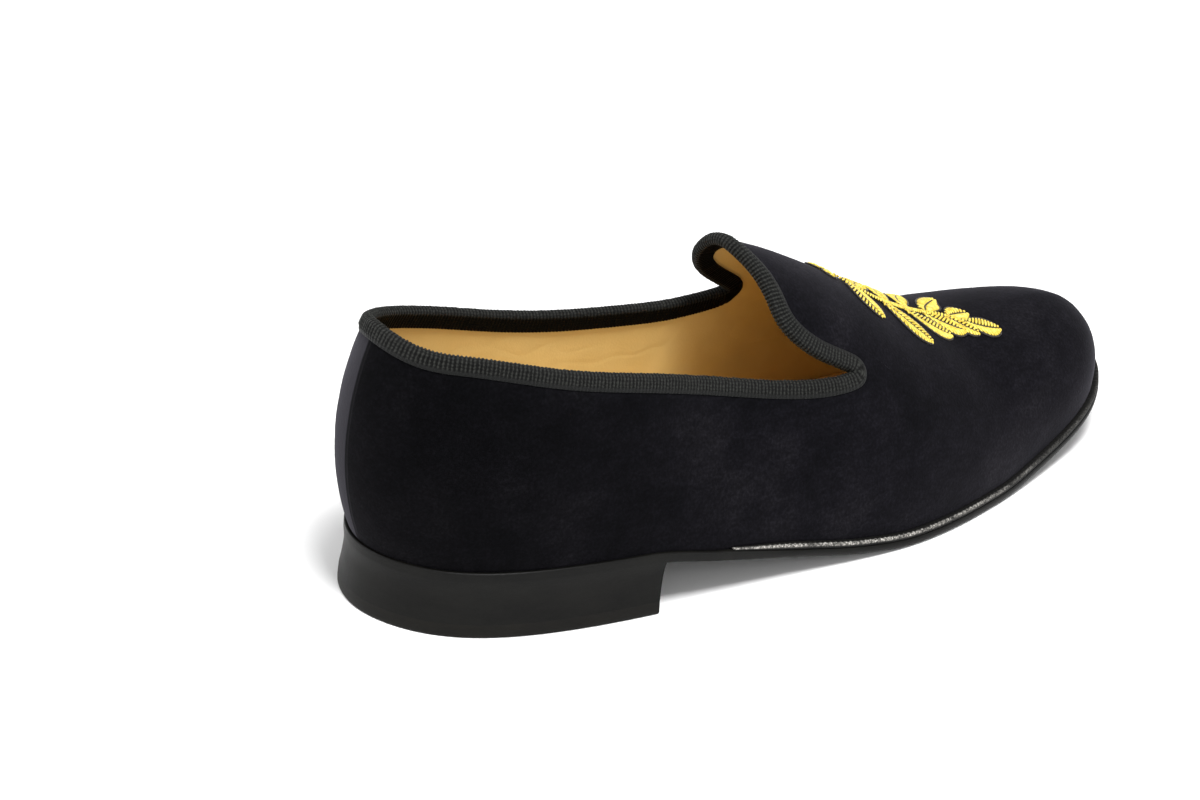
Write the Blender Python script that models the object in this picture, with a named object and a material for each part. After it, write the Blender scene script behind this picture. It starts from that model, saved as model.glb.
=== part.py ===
"""Velvet slipper loafer, right shoe, standing empty on its sole.

Metres, +Z up, toe at +Y, lateral (little toe) side at +X. The forms are worked out in the last's
own frame, with the back of the sole at y = 0, and moved at the end so that the origin lies on the
floor under the middle of the whole shoe.
"""
import bpy
import numpy as np

MM = 0.001

# Driving sizes of the sole and heel
SOLE_THICK = 3.2 * MM
WELT_THICK = 1.6 * MM
HEEL_HEIGHT = 18.3 * MM
TOP_PIECE_THICK = 4.5 * MM
HEEL_FLARE = 1.25 * MM
BREAST_Y = 80.5 * MM
BREAST_LEAN = 2.0 * MM
TOE_SPRING = 15.5 * MM
GAP = 0.3 * MM

# The upper's wall and how far it stands in from the sole's edge
WALL = 2.0 * MM
MARGIN_REAR = 1.0 * MM
MARGIN_FORE = 2.3 * MM
WELT_START_Y = 104.0 * MM
WELT_FULL_Y = 128.0 * MM
WELT_SKIVED = 0.3
LIFT_START_Y = 92.0 * MM
LIFT_FULL_Y = 112.0 * MM
INSOLE_THICK = 3.4 * MM

INSOLE_GAP = 0.9 * MM
INSOLE_EDGE = 1.0 * MM
SOLE_EDGE = 0.8 * MM
TOP_PIECE_EDGE = 0.6 * MM
WELT_SET_IN = 0.2 * MM
WELT_EDGE = 0.5 * MM

# The ribbon folded over the topline
BINDING_OUT = 4.2 * MM
BINDING_IN = 5.0 * MM
BINDING_THICK = 0.9 * MM

# Mesh counts
RELAX_STEPS = 1
LEAVE_SHARE = 0.5
LEAVE_MOST = 30.0 * MM
COLUMNS = 100
BINDING_ROWS = 2
UPPER_ROWS = 11
ROW_CROWDING = 1.5
SOLE_POINTS = 116
HEEL_POINTS = 60
INSOLE_POINTS = 80
WELT_POINTS = 92
OUTLINE_SAMPLES = 720

# Side of the heel from the top piece up: share of its height, how far out from the sole in mm
HEEL_SIDE = [
    (0.0, 1.0),
    (0.35, 0.2),
    (0.75, -0.35),
    (1.0, -0.15),
]

# Base colour and roughness of each piece
FINISH = {
    "outsole": ((0.012, 0.011, 0.010), 0.42),
    "welt": ((0.16, 0.14, 0.12), 0.62),
    "heel": ((0.012, 0.011, 0.011), 0.40),
    "heel_top_piece": ((0.014, 0.012, 0.010), 0.55),
    "insole": ((0.55, 0.34, 0.14), 0.55),
    "upper": ((0.014, 0.014, 0.022), 0.92),
    "binding": ((0.016, 0.016, 0.018), 0.75),
}

# Plan of the outsole, millimetres: name, x, y
OUTLINE = [
    ("heel back", 0.0, 0.0),
    ("heel lateral round", 22.5, 9.5),
    ("heel lateral", 37.0, 32.0),
    ("breast lateral", 45.0, 68.0),
    ("waist lateral", 48.0, 102.0),
    ("joint rear lateral", 50.0, 140.0),
    ("joint lateral", 50.5, 178.0),
    ("fore lateral", 43.0, 213.0),
    ("toe lateral", 32.0, 246.0),
    ("toe lateral round", 18.5, 273.0),
    ("toe tip", -3.0, 285.0),
    ("toe medial round", -24.5, 276.5),
    ("toe medial", -37.5, 254.0),
    ("fore medial", -45.0, 222.0),
    ("joint medial", -46.5, 197.0),
    ("joint rear medial", -39.5, 161.0),
    ("waist medial", -30.0, 120.0),
    ("breast medial", -29.0, 76.0),
    ("heel medial", -29.5, 33.0),
    ("heel medial round", -20.5, 9.0),
]

# Underside of the outsole along the shoe: y in mm, share of heel height, share of toe spring
BOTTOM = [
    (0.0, 1.00, 0.00),
    (30.0, 1.00, 0.00),
    (75.0, 0.96, 0.00),
    (100.0, 0.72, 0.00),
    (130.0, 0.36, 0.00),
    (155.0, 0.10, 0.00),
    (175.0, 0.00, 0.00),
    (215.0, 0.00, 0.00),
    (237.0, 0.00, 0.18),
    (262.0, 0.00, 0.52),
    (285.0, 0.00, 1.00),
]

# Crest of the last from the cone over the heel to the toe, millimetres: name, y, x, z
RIDGE = [
    ("back cone", 24.0, 0.0, 116.0),
    ("mid cone", 70.0, 0.0, 121.0),
    ("instep", 105.0, -1.0, 106.0),
    ("tongue tip", 124.0, -2.0, 95.3),
    ("tongue root", 147.0, -3.0, 84.2),
    ("waist girth", 167.0, -3.5, 73.4),
    ("vamp", 190.0, -4.0, 60.0),
    ("joint girth", 210.0, -4.0, 50.4),
    ("toe box rear", 232.0, -4.0, 47.6),
    ("toe box", 252.0, -3.5, 46.0),
]

# Ribs from the feather line to the crest. y in mm of the rib's foot, then for each side:
# rise (share of height at which the wall turns), bulge (mm outward), crown (share of width)
RIBS = [
    (0.0, 0.50, 18.0, 0.56, 0.50, 18.0, 0.56),
    (10.0, 0.48, 12.0, 0.62, 0.48, 12.0, 0.62),
    (32.0, 0.45, 7.0, 0.55, 0.45, 8.0, 0.58),
    (68.0, 0.43, 0.0, 0.36, 0.45, 6.0, 0.52),
    (102.0, 0.42, -4.0, 0.30, 0.45, 6.0, 0.58),
    (150.0, 0.62, -1.0, 0.45, 0.60, 3.0, 0.60),
    (190.0, 0.56, 1.5, 0.50, 0.58, 1.5, 0.55),
    (235.0, 0.58, 2.0, 0.58, 0.60, 2.0, 0.58),
    (282.0, 0.60, 2.5, 0.60, 0.60, 2.5, 0.60),
]

# Velvet's edge round the opening, millimetres: name, x, y, z, and the y of the foot that it faces
TOPLINE = [
    ("back", 0.0, 6.5, 90.8, 0.0),
    ("back lateral", 14.5, 10.0, 89.2, 6.0),
    ("quarter rear lateral", 24.6, 23.5, 87.4, 24.0),
    ("quarter lateral", 31.2, 50.0, 80.5, 55.0),
    ("quarter middle lateral", 32.6, 75.0, 74.2, 84.0),
    ("quarter fore lateral", 32.2, 101.0, 67.0, 112.0),
    ("notch rear lateral", 34.0, 128.0, 60.0, 142.0),
    ("notch floor lateral", 35.8, 146.5, 57.8, 160.0),
    ("notch lateral", 35.0, 156.0, 58.8, 182.0),
    ("notch upper lateral", 32.3, 150.6, 61.7, 200.0),
    ("tongue root lateral", 29.4, 141.2, 66.9, 217.0),
    ("tongue side lateral", 24.2, 133.8, 75.4, 238.0),
    ("tongue flank lateral", 18.6, 133.0, 82.6, 255.0),
    ("tongue shoulder lateral", 10.6, 132.2, 88.8, 269.0),
    ("tongue tip", -1.0, 128.6, 92.2, 282.0),
    ("tongue shoulder medial", -11.5, 127.8, 88.6, 269.0),
    ("tongue flank medial", -18.0, 128.8, 82.0, 256.0),
    ("tongue side medial", -21.8, 134.0, 74.2, 240.0),
    ("tongue root medial", -25.2, 143.2, 66.6, 217.0),
    ("notch medial", -27.6, 149.5, 60.6, 186.0),
    ("notch floor medial", -27.2, 140.0, 59.8, 154.0),
    ("quarter fore medial", -26.0, 113.5, 62.6, 118.0),
    ("quarter middle medial", -25.6, 84.5, 66.2, 88.0),
    ("quarter medial", -24.6, 57.5, 71.9, 58.0),
    ("quarter rear medial", -20.2, 23.0, 82.4, 24.0),
    ("back medial", -12.0, 9.5, 88.0, 6.0),
]


def unit(vectors):
    return vectors / np.linalg.norm(vectors, axis=-1, keepdims=True)


def smooth_step(start, end, x):
    t = np.clip((np.asarray(x) - start) / (end - start), 0.0, 1.0)
    return t * t * (3.0 - 2.0 * t)


def hermite(t, span, p0, m0, p1, m1):
    """Cubic between two values with given slopes, t from 0 to 1 over the span."""
    return ((1.0 + 2.0 * t) * (1.0 - t) ** 2 * p0 + span * t * (1.0 - t) ** 2 * m0
            + t * t * (3.0 - 2.0 * t) * p1 + span * t * t * (t - 1.0) * m1)


def ease(rows, x):
    """A smooth curve through rows of (x, value) that never overshoots between them."""
    table = np.asarray(rows, float)
    knots, values = table[:, 0], table[:, 1]
    span = np.diff(knots)
    rise = np.diff(values) / span
    slope = np.zeros(len(knots))
    slope[0], slope[-1] = rise[0], rise[-1]
    for i in range(1, len(knots) - 1):
        if rise[i - 1] * rise[i] > 0.0:
            w1 = 2.0 * span[i] + span[i - 1]
            w2 = span[i] + 2.0 * span[i - 1]
            slope[i] = (w1 + w2) / (w1 / rise[i - 1] + w2 / rise[i])
    x = np.clip(np.asarray(x, float), knots[0], knots[-1])
    i = np.clip(np.searchsorted(knots, x, side="right") - 1, 0, len(knots) - 2)
    t = (x - knots[i]) / span[i]
    return hermite(t, span[i], values[i], slope[i], values[i + 1], slope[i + 1])


def closed_spline(points, count):
    """Points along a closed smooth curve through the given ones, count of them."""
    p = np.asarray(points, float)
    size = len(p)
    span = np.linalg.norm(np.roll(p, -1, 0) - p, axis=1) ** 0.5
    system = np.zeros((size, size))
    right = np.zeros_like(p)
    for i in range(size):
        before, after, k = span[i - 1], span[i], (i + 1) % size
        system[i, i - 1] += after
        system[i, i] += 2.0 * (before + after)
        system[i, k] += before
        right[i] = 3.0 * (after / before * (p[i] - p[i - 1]) + before / after * (p[k] - p[i]))
    slope = np.linalg.solve(system, right)
    knots = np.concatenate([[0.0], np.cumsum(span)])
    x = np.linspace(0.0, knots[-1], count, endpoint=False)
    i = np.clip(np.searchsorted(knots, x, side="right") - 1, 0, size - 1)
    k = (i + 1) % size
    t = ((x - knots[i]) / span[i])[:, None]
    return hermite(t, span[i][:, None], p[i], slope[i], p[k], slope[k])


def plan_offset(curve, distance):
    """A closed plan curve moved outward by a distance (or one distance a point)."""
    along = unit(np.roll(curve, -1, 0) - np.roll(curve, 1, 0))
    outward = np.stack([along[:, 1], -along[:, 0]], axis=1)
    return curve + outward * np.broadcast_to(distance, len(curve))[:, None]


def sole_outline():
    return closed_spline([(x * MM, y * MM) for _, x, y in OUTLINE], OUTLINE_SAMPLES)


def sole_bottom(y):
    heel = ease([(a * MM, b) for a, b, _ in BOTTOM], y)
    spring = ease([(a * MM, b) for a, _, b in BOTTOM], y)
    return HEEL_HEIGHT * heel + TOE_SPRING * spring


def sole_top(y):
    return sole_bottom(y) + SOLE_THICK


def foot_height(y):
    """Height of the upper's lower edge: on the sole at the heel, on the welt from the waist."""
    return sole_top(y) + GAP + (WELT_THICK + GAP) * smooth_step(LIFT_START_Y, LIFT_FULL_Y, y)


def margin(y):
    """How far the upper stands in from the sole's edge."""
    return MARGIN_REAR + (MARGIN_FORE - MARGIN_REAR) * smooth_step(LIFT_START_Y, WELT_FULL_Y, y)


def foot_line():
    """The feather line, where the upper's outer face comes down."""
    outline = sole_outline()
    plan = plan_offset(outline, -margin(outline[:, 1]))
    return np.column_stack([plan, foot_height(plan[:, 1])])


class Last:
    """The upper's outer face: ribs that rise from the feather line and meet along a crest.

    A point is read by its spread q, the plan point between a rib's foot and its end on the crest.
    """

    def __init__(self):
        self.foot = foot_line()
        y = self.foot[:, 1]
        share = (y - y.min()) / (y.max() - y.min())
        rows = np.array([row[1:] for row in RIDGE]) * MM
        spine = rows[0, 0] + (rows[-1, 0] - rows[0, 0]) * share
        height = ease(rows[:, [0, 2]], spine)
        step = 0.5 * MM
        self.slope = (ease(rows[:, [0, 2]], spine + step) - ease(rows[:, [0, 2]], spine - step)) / (2.0 * step)
        self.crest = np.column_stack([ease(rows[:, :2], spine), spine, height])
        table = np.array(RIBS)
        lateral = (np.arange(len(y)) <= np.argmax(y))[:, None]
        feet = table[:, 0] * MM
        sides = [np.column_stack([ease(np.column_stack([feet, table[:, c]]), y) for c in columns])
                 for columns in ((1, 2, 3), (4, 5, 6))]
        self.rib = np.where(lateral, sides[0], sides[1])

    def locate(self, q):
        """Which rib passes through each spread point, and how far up it."""
        foot, crest = self.foot[:, :2], self.crest[:, :2]
        arm = foot - crest
        reach = q[:, None, :] - crest[None]
        side = arm[None, :, 0] * reach[..., 1] - arm[None, :, 1] * reach[..., 0]
        ahead = (arm[None] * reach).sum(-1) > 0.0
        following = np.roll(side, -1, axis=1)
        crossing = (side >= 0.0) & (following < 0.0) & (ahead | np.roll(ahead, -1, axis=1))
        i = crossing.argmax(axis=1)
        row = np.arange(len(q))
        a, b = side[row, i], following[row, i]
        part = np.where(crossing[row, i], a / np.where(a - b == 0.0, 1.0, a - b), 0.0)
        return i, part

    def point(self, q):
        q = np.asarray(q, float)
        i, part = self.locate(q)
        k = (i + 1) % len(self.foot)
        part = part[:, None]
        foot = self.foot[i] * (1.0 - part) + self.foot[k] * part
        crest = self.crest[i] * (1.0 - part) + self.crest[k] * part
        slope = self.slope[i] * (1.0 - part[:, 0]) + self.slope[k] * part[:, 0]
        rise, bulge, crown = (self.rib[i] * (1.0 - part) + self.rib[k] * part).T
        arm = foot[:, :2] - crest[:, :2]
        width = np.linalg.norm(arm, axis=1)
        outward = arm / width[:, None]
        t = 1.0 - ((q - crest[:, :2]) * outward).sum(1) / width
        height = crest[:, 2] - foot[:, 2]
        turn = foot.copy()
        turn[:, :2] += outward * (bulge * MM)[:, None]
        turn[:, 2] += rise * height
        dome = crest.copy()
        dome[:, :2] += outward * (crown * width)[:, None]
        dome[:, 2] += slope * outward[:, 1] * crown * width
        t = t[:, None]
        s = 1.0 - t
        return s ** 3 * foot + 3.0 * s * s * t * turn + 3.0 * s * t * t * dome + t ** 3 * crest

    def frame(self, q, step=0.1 * MM):
        """The point and how it moves with each spread coordinate."""
        east = np.array([step, 0.0])
        north = np.array([0.0, step])
        along_x = (self.point(q + east) - self.point(q - east)) / (2.0 * step)
        along_y = (self.point(q + north) - self.point(q - north)) / (2.0 * step)
        return self.point(q), along_x, along_y

    def normal(self, q):
        _, along_x, along_y = self.frame(q)
        return unit(np.cross(along_x, along_y))

    def nearest(self, target, q, steps=12):
        """Spread points whose surface points lie nearest to the targets."""
        for _ in range(steps):
            here, dx, dy = self.frame(q)
            miss = target - here
            a, b, c = (dx * dx).sum(1), (dx * dy).sum(1), (dy * dy).sum(1)
            u, v = (dx * miss).sum(1), (dy * miss).sum(1)
            det = a * c - b * b + 1e-12
            move = np.column_stack([(c * u - b * v) / det, (a * v - b * u) / det])
            size = np.linalg.norm(move, axis=1, keepdims=True)
            q = q + move * np.minimum(1.0, 5.0 * MM / np.maximum(size, 1e-9))
        return q


def spaced_by_curvature(curve, count):
    """Indices along a closed dense curve, closer together where it turns."""
    along = np.roll(curve, -1, 0) - curve
    length = np.linalg.norm(along, axis=1)
    turn = np.linalg.norm(unit(along) - unit(np.roll(along, 1, 0)), axis=1) / length
    turn = sum(np.roll(turn, k) for k in range(-6, 7)) / 13.0
    weight = length * (1.0 + np.minimum(turn * 12.0 * MM, 1.6))
    total = np.concatenate([[0.0], np.cumsum(weight)])
    return np.searchsorted(total, np.linspace(0.0, total[-1], count, endpoint=False)).clip(0, len(curve) - 1)


def topline(last, count):
    """The opening's edge as spread points, and the spread point on the feather line faced by each."""
    table = np.array([row[1:] for row in TOPLINE]) * MM
    guess = table[:, :2] * np.array([0.75, 1.0])
    control = last.nearest(table[:, :3], guess, 40)
    size = 80 * len(TOPLINE)
    edge = last.nearest(closed_spline(last.point(control), size), closed_spline(control, size), 6)
    pick = spaced_by_curvature(last.point(edge), count)

    plan = last.foot[:, :2]
    tip = int(np.argmax(plan[:, 1]))
    lateral = int(np.argmax([row[0] == "tongue tip" for row in TOPLINE]))
    faced = []
    for k, y in enumerate(table[:, 3]):
        up_side = k <= lateral
        stretch = slice(0, tip + 1) if up_side else slice(tip, len(plan))
        nearest = np.argmin(np.abs(plan[stretch, 1] - y))
        faced.append(nearest + (0 if up_side else tip))
    faced[0] = 0
    faced = np.array(faced + [len(plan)], float)
    knots = np.arange(len(TOPLINE) + 1) * (size / len(TOPLINE))
    place = ease(np.column_stack([knots, faced]), pick)
    low = np.floor(place).astype(int)
    part = (place - low)[:, None]
    feet = plan[low % len(plan)] * (1.0 - part) + plan[(low + 1) % len(plan)] * part
    return edge[pick], feet


def band_rows(last, edge, widths):
    """Rows of spread points that run beside the opening's edge at the given widths."""
    rows = [edge]
    q = edge
    done = 0.0
    for width in widths[1:]:
        pieces = max(1, int(np.ceil((width - done) / (1.0 * MM))))
        step = (width - done) / pieces
        for _ in range(pieces):
            here = last.point(q)
            along = unit(np.roll(here, -1, 0) - np.roll(here, 1, 0))
            away = unit(np.cross(along, last.normal(q)))
            q = last.nearest(here + away * step, q, 4)
            q = q + 0.25 * (0.5 * (np.roll(q, 1, 0) + np.roll(q, -1, 0)) - q)
        done = width
        rows.append(q)
    return rows


def upper_grid(last):
    """Rows of spread points from the opening's edge to the feather line."""
    edge, feet = topline(last, COLUMNS)
    widths = np.linspace(0.0, BINDING_OUT, BINDING_ROWS + 1)
    rows = band_rows(last, edge, widths)
    start = rows[-1]
    reach = feet - start
    length = np.linalg.norm(reach, axis=1)[:, None]
    leave = unit(start - rows[-2]) * np.minimum(LEAVE_SHARE * length, LEAVE_MOST)
    k = 1.0 - np.linspace(1.0, 0.0, UPPER_ROWS + 1)[:, None, None] ** ROW_CROWDING
    lower = (start * (2.0 * k**3 - 3.0 * k**2 + 1.0) + feet * (3.0 * k**2 - 2.0 * k**3)
             + leave * (k**3 - 2.0 * k**2 + k) + reach * (k**3 - k**2))
    for _ in range(RELAX_STEPS):
        inner = lower[1:-1]
        sides = 0.5 * (np.roll(inner, 1, axis=1) + np.roll(inner, -1, axis=1))
        ends = 0.5 * (lower[:-2] + lower[2:])
        lower[1:-1] = inner + 0.5 * (0.5 * (sides + ends) - inner)
    return np.array(rows[:-1] + list(lower))


def loop_shell(rings, closed_ends):
    """Vertices and faces of rings of points joined in order; the last ring joins the first."""
    rings = np.asarray(rings)
    count, size, _ = rings.shape
    vertices = rings.reshape(-1, 3)
    faces = []
    for r in range(count if not closed_ends else count - 1):
        n = (r + 1) % count
        for c in range(size):
            k = (c + 1) % size
            faces.append((r * size + c, r * size + k, n * size + k, n * size + c))
    if closed_ends:
        faces.append(tuple(range(size))[::-1])
        faces.append(tuple((count - 1) * size + c for c in range(size)))
    return vertices, faces


def upper_shell(last, grid):
    """One hollow wall: outer face down, lower edge, inner face up, and the edge at the opening."""
    flat = grid.reshape(-1, 2)
    outer = last.point(flat).reshape(*grid.shape[:2], 3)
    normal = last.normal(flat).reshape(outer.shape)
    inner = outer - normal * WALL
    level = unit(normal[-1] * np.array([1.0, 1.0, 0.0]))
    outer[-1, :, 2] = foot_height(outer[-1, :, 1])
    inner[-1] = outer[-1] - level * WALL
    rings = np.concatenate([outer, inner[::-1]])
    return loop_shell(rings, False)


def binding_shell(last, grid):
    """The folded ribbon: a U section carried round the opening's edge."""
    edge = grid[0]
    widths = [0.0, 0.5 * BINDING_OUT, BINDING_OUT]
    rows = band_rows(last, edge, widths)
    points = [last.point(q) for q in rows]
    normals = [last.normal(q) for q in rows]
    along = unit(np.roll(points[0], -1, 0) - np.roll(points[0], 1, 0))
    upward = -unit(np.cross(along, normals[0]))
    near, far = GAP, GAP + BINDING_THICK
    back = -WALL
    deep = BINDING_IN / BINDING_OUT

    def over(lift, depth):
        return points[0] + upward * lift + normals[0] * depth

    def beside(row, depth):
        return points[row] + normals[row] * depth

    def inside(row, depth):
        return points[0] + deep * (points[row] - points[0]) + normals[row] * depth

    rings = [
        beside(2, far), beside(1, far), over(0.0, far), over(0.75 * far, 0.6 * far),
        over(far, 0.5 * back), over(0.75 * far, back - 0.6 * far), over(0.0, back - far),
        inside(1, back - far), inside(2, back - far),
        inside(2, back - near), inside(1, back - near), over(near, back - near),
        over(near, near), beside(1, near), beside(2, near),
    ]
    return loop_shell(rings[::-1], False)


def plate_loop(curve, stations, front=None):
    """Points of a closed plan curve in pairs across the shoe, lateral side first.

    With a front given, the plan is cut straight there and the last pair is its corner points.
    """
    back = int(np.argmin(curve[:, 1]))
    curve = np.roll(curve, -back, axis=0)
    tip = int(np.argmax(curve[:, 1]))
    lateral = curve[:tip + 1]
    medial = np.vstack([curve[tip:], curve[:1]])[::-1]
    start, end = curve[0, 1], curve[tip, 1]
    turn = np.linspace(0.0, 1.0, stations + 1)
    if front is None:
        y = start + (end - start) * 0.5 * (1.0 - np.cos(np.pi * turn))
    else:
        y = start + (front - start) * (1.0 - np.cos(0.5 * np.pi * turn))
    right = np.column_stack([np.interp(y, lateral[:, 1], lateral[:, 0]), y])
    left = np.column_stack([np.interp(y, medial[:, 1], medial[:, 0]), y])
    last = stations if front is None else stations + 1
    return np.vstack([right, left[1:last][::-1]])


def plate(loops):
    """A closed slab from loops of points, bottom one first; its flat ends join the pairs across."""
    rings = np.asarray(loops)
    count, size, _ = rings.shape
    vertices, faces = loop_shell(rings, True)
    faces = faces[:-2]
    top = (count - 1) * size
    for k in range(size // 2):
        a, b = k, k + 1
        c, d = (size - b) % size, (size - a) % size
        corners = [a, b]
        corners += [v for v in (c, d) if v not in corners]
        faces.append(tuple(corners[::-1]))
        faces.append(tuple(top + v for v in corners))
    return vertices, faces


def with_height(plan, height):
    return np.column_stack([plan, height(plan[:, 1])])


def outsole():
    """The sole: its true outline, the arch and the toe spring, with its lower edge broken."""
    outline = sole_outline()
    edge = plate_loop(outline, SOLE_POINTS // 2)
    inner = plate_loop(plan_offset(outline, -SOLE_EDGE), SOLE_POINTS // 2)
    return plate([
        with_height(inner, sole_bottom),
        with_height(edge, lambda y: sole_bottom(y) + SOLE_EDGE),
        with_height(edge, lambda y: sole_top(y) - 0.4 * SOLE_EDGE),
        with_height(plate_loop(plan_offset(outline, -0.4 * SOLE_EDGE), SOLE_POINTS // 2), sole_top),
    ])


def heel_line(y):
    return sole_bottom(y) - GAP


def heel():
    """The stacked heel above the top piece, a little hollow down its side."""
    outline = sole_outline()
    floor = TOP_PIECE_THICK + GAP
    rings = []
    for share, out in HEEL_SIDE:
        front = BREAST_Y - BREAST_LEAN * (1.0 - share)
        plan = plate_loop(plan_offset(outline, out * MM), HEEL_POINTS // 2, front)
        rings.append(with_height(plan, lambda y: floor + share * (heel_line(y) - floor)))
    return plate(rings)


def heel_top_piece():
    """The rubber top piece that stands on the floor."""
    outline = sole_outline()
    under = plan_offset(outline, HEEL_FLARE - TOP_PIECE_EDGE)
    above = plan_offset(outline, HEEL_SIDE[0][1] * MM)
    wide = plan_offset(outline, HEEL_FLARE)
    front = BREAST_Y - BREAST_LEAN
    rows = ((under, front - TOP_PIECE_EDGE, 0.0),
            (wide, front, TOP_PIECE_EDGE),
            (above, front, TOP_PIECE_THICK))
    return plate([with_height(plate_loop(curve, HEEL_POINTS // 2, cut), lambda y: 0.0 * y + z)
                  for curve, cut, z in rows])


def insole():
    """The footbed: it fills the upper inside its wall and stands a little above the feather line."""
    outline = foot_line()[:, :2]
    plan = plate_loop(plan_offset(outline, -(WALL + INSOLE_GAP)), INSOLE_POINTS // 2)
    inner = plate_loop(plan_offset(outline, -(WALL + INSOLE_GAP + INSOLE_EDGE)), INSOLE_POINTS // 2)
    return plate([
        with_height(plan, lambda y: sole_top(y) + GAP),
        with_height(plan, lambda y: foot_height(y) + INSOLE_THICK - INSOLE_EDGE),
        with_height(inner, lambda y: foot_height(y) + INSOLE_THICK),
    ])


def welt():
    """The welt: a strip on the sole's rim from waist to waist round the toe, skived at its ends."""
    outline = sole_outline()
    long = np.flatnonzero(outline[:, 1] >= WELT_START_Y)
    under = -margin(outline[:, 1]) - WALL
    section = ((-WELT_SET_IN, 0.0), (-WELT_SET_IN, 0.6), (-WELT_SET_IN - WELT_EDGE, 1.0), (under, 1.0),
               (under, 0.0))
    along = np.linalg.norm(np.diff(outline[long], axis=0), axis=1)
    place = np.concatenate([[0.0], np.cumsum(along)])
    at = np.interp(np.linspace(0.0, place[-1], WELT_POINTS), place, long)
    rings = []
    for offset, share in section:
        curve = plan_offset(outline, offset)
        x = np.interp(at, np.arange(len(curve)), curve[:, 0])
        y = np.interp(at, np.arange(len(curve)), curve[:, 1])
        full = smooth_step(WELT_START_Y, WELT_FULL_Y, y)
        height = WELT_THICK * (WELT_SKIVED + (1.0 - WELT_SKIVED) * full)
        rings.append(np.column_stack([x, y, sole_top(y) + GAP + share * height]))
    return loop_shell(np.array(rings).transpose(1, 0, 2), True)


def triangles(vertices, faces):
    """The faces cut into triangles, each four-sided one along its shorter diagonal."""
    cut = []
    for face in faces:
        if len(face) == 4:
            a, b, c, d = face
            if np.linalg.norm(vertices[a] - vertices[c]) <= np.linalg.norm(vertices[b] - vertices[d]):
                cut += [(a, b, c), (a, c, d)]
            else:
                cut += [(a, b, d), (b, c, d)]
        else:
            cut += [(face[0], face[k], face[k + 1]) for k in range(1, len(face) - 1)]
    cut = np.array(cut)
    corner = vertices[cut]
    volume = np.einsum("ij,ij->i", corner[:, 0], np.cross(corner[:, 1], corner[:, 2])).sum()
    return cut if volume > 0.0 else cut[:, ::-1]


def add_piece(name, vertices, faces, colour, roughness):
    mesh = bpy.data.meshes.new(name)
    mesh.from_pydata(vertices.tolist(), [], triangles(vertices, faces).tolist())
    mesh.validate()
    material = bpy.data.materials.new(name + "_material")
    material.use_nodes = True
    shader = material.node_tree.nodes["Principled BSDF"]
    shader.inputs["Base Color"].default_value = (*colour, 1.0)
    shader.inputs["Roughness"].default_value = roughness
    mesh.materials.append(material)
    piece = bpy.data.objects.new(name, mesh)
    bpy.context.scene.collection.objects.link(piece)


def build():
    for item in list(bpy.data.objects):
        bpy.data.objects.remove(item, do_unlink=True)
    last = Last()
    grid = upper_grid(last)
    pieces = {
        "outsole": outsole(),
        "welt": welt(),
        "heel": heel(),
        "heel_top_piece": heel_top_piece(),
        "insole": insole(),
        "upper": upper_shell(last, grid),
        "binding": binding_shell(last, grid),
    }
    everything = np.vstack([vertices for vertices, _ in pieces.values()])
    low, high = everything.min(axis=0), everything.max(axis=0)
    origin = np.array([0.5 * (low[0] + high[0]), 0.5 * (low[1] + high[1]), low[2]])
    for name, (vertices, faces) in pieces.items():
        colour, roughness = FINISH[name]
        add_piece(name, vertices - origin, faces, colour, roughness)


build()
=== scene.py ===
"""Looks of the velvet slipper loafer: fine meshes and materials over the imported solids.

Forms are worked out in the last's own frame, as in the part's source, with the back of the sole at
y = 0, and moved into the row frame at the end.
"""
import math
import bpy
import numpy as np
from mathutils import Matrix, Vector


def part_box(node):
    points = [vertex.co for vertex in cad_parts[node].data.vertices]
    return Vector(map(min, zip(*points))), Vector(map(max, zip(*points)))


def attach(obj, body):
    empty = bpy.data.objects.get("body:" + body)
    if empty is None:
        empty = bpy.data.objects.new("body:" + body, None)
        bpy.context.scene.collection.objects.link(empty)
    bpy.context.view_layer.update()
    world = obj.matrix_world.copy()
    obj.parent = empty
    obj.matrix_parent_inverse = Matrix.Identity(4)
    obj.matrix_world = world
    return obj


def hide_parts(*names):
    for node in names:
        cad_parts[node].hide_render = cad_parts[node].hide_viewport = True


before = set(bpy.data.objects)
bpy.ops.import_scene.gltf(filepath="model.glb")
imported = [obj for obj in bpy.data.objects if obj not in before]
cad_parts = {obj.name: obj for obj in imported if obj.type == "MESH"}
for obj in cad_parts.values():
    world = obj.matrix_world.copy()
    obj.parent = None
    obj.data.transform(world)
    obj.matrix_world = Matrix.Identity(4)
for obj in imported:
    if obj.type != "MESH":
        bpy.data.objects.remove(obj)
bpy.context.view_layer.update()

MM = 0.001

# Driving sizes of the sole and heel
SOLE_THICK = 3.2 * MM
WELT_THICK = 1.6 * MM
HEEL_HEIGHT = 18.3 * MM
TOP_PIECE_THICK = 4.5 * MM
BREAST_Y = 80.5 * MM
BREAST_LEAN = 2.0 * MM
TOE_SPRING = 15.5 * MM
GAP = 0.3 * MM

# The upper's wall and how far it stands in from the sole's edge
WALL = 2.0 * MM
MARGIN_REAR = 1.0 * MM
MARGIN_FORE = 2.3 * MM
WELT_START_Y = 104.0 * MM
WELT_FULL_Y = 128.0 * MM
WELT_SKIVED = 0.3
LIFT_START_Y = 92.0 * MM
LIFT_FULL_Y = 112.0 * MM
INSOLE_THICK = 3.4 * MM
INSOLE_GAP = 0.9 * MM

# The ribbon folded over the topline
BINDING_OUT = 4.2 * MM
BINDING_IN = 5.0 * MM

# How the upper's columns leave the ribbon's edge, and how its rows crowd toward the sole
LEAVE_SHARE = 0.5
LEAVE_MOST = 30.0 * MM
ROW_CROWDING = 1.5

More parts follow.
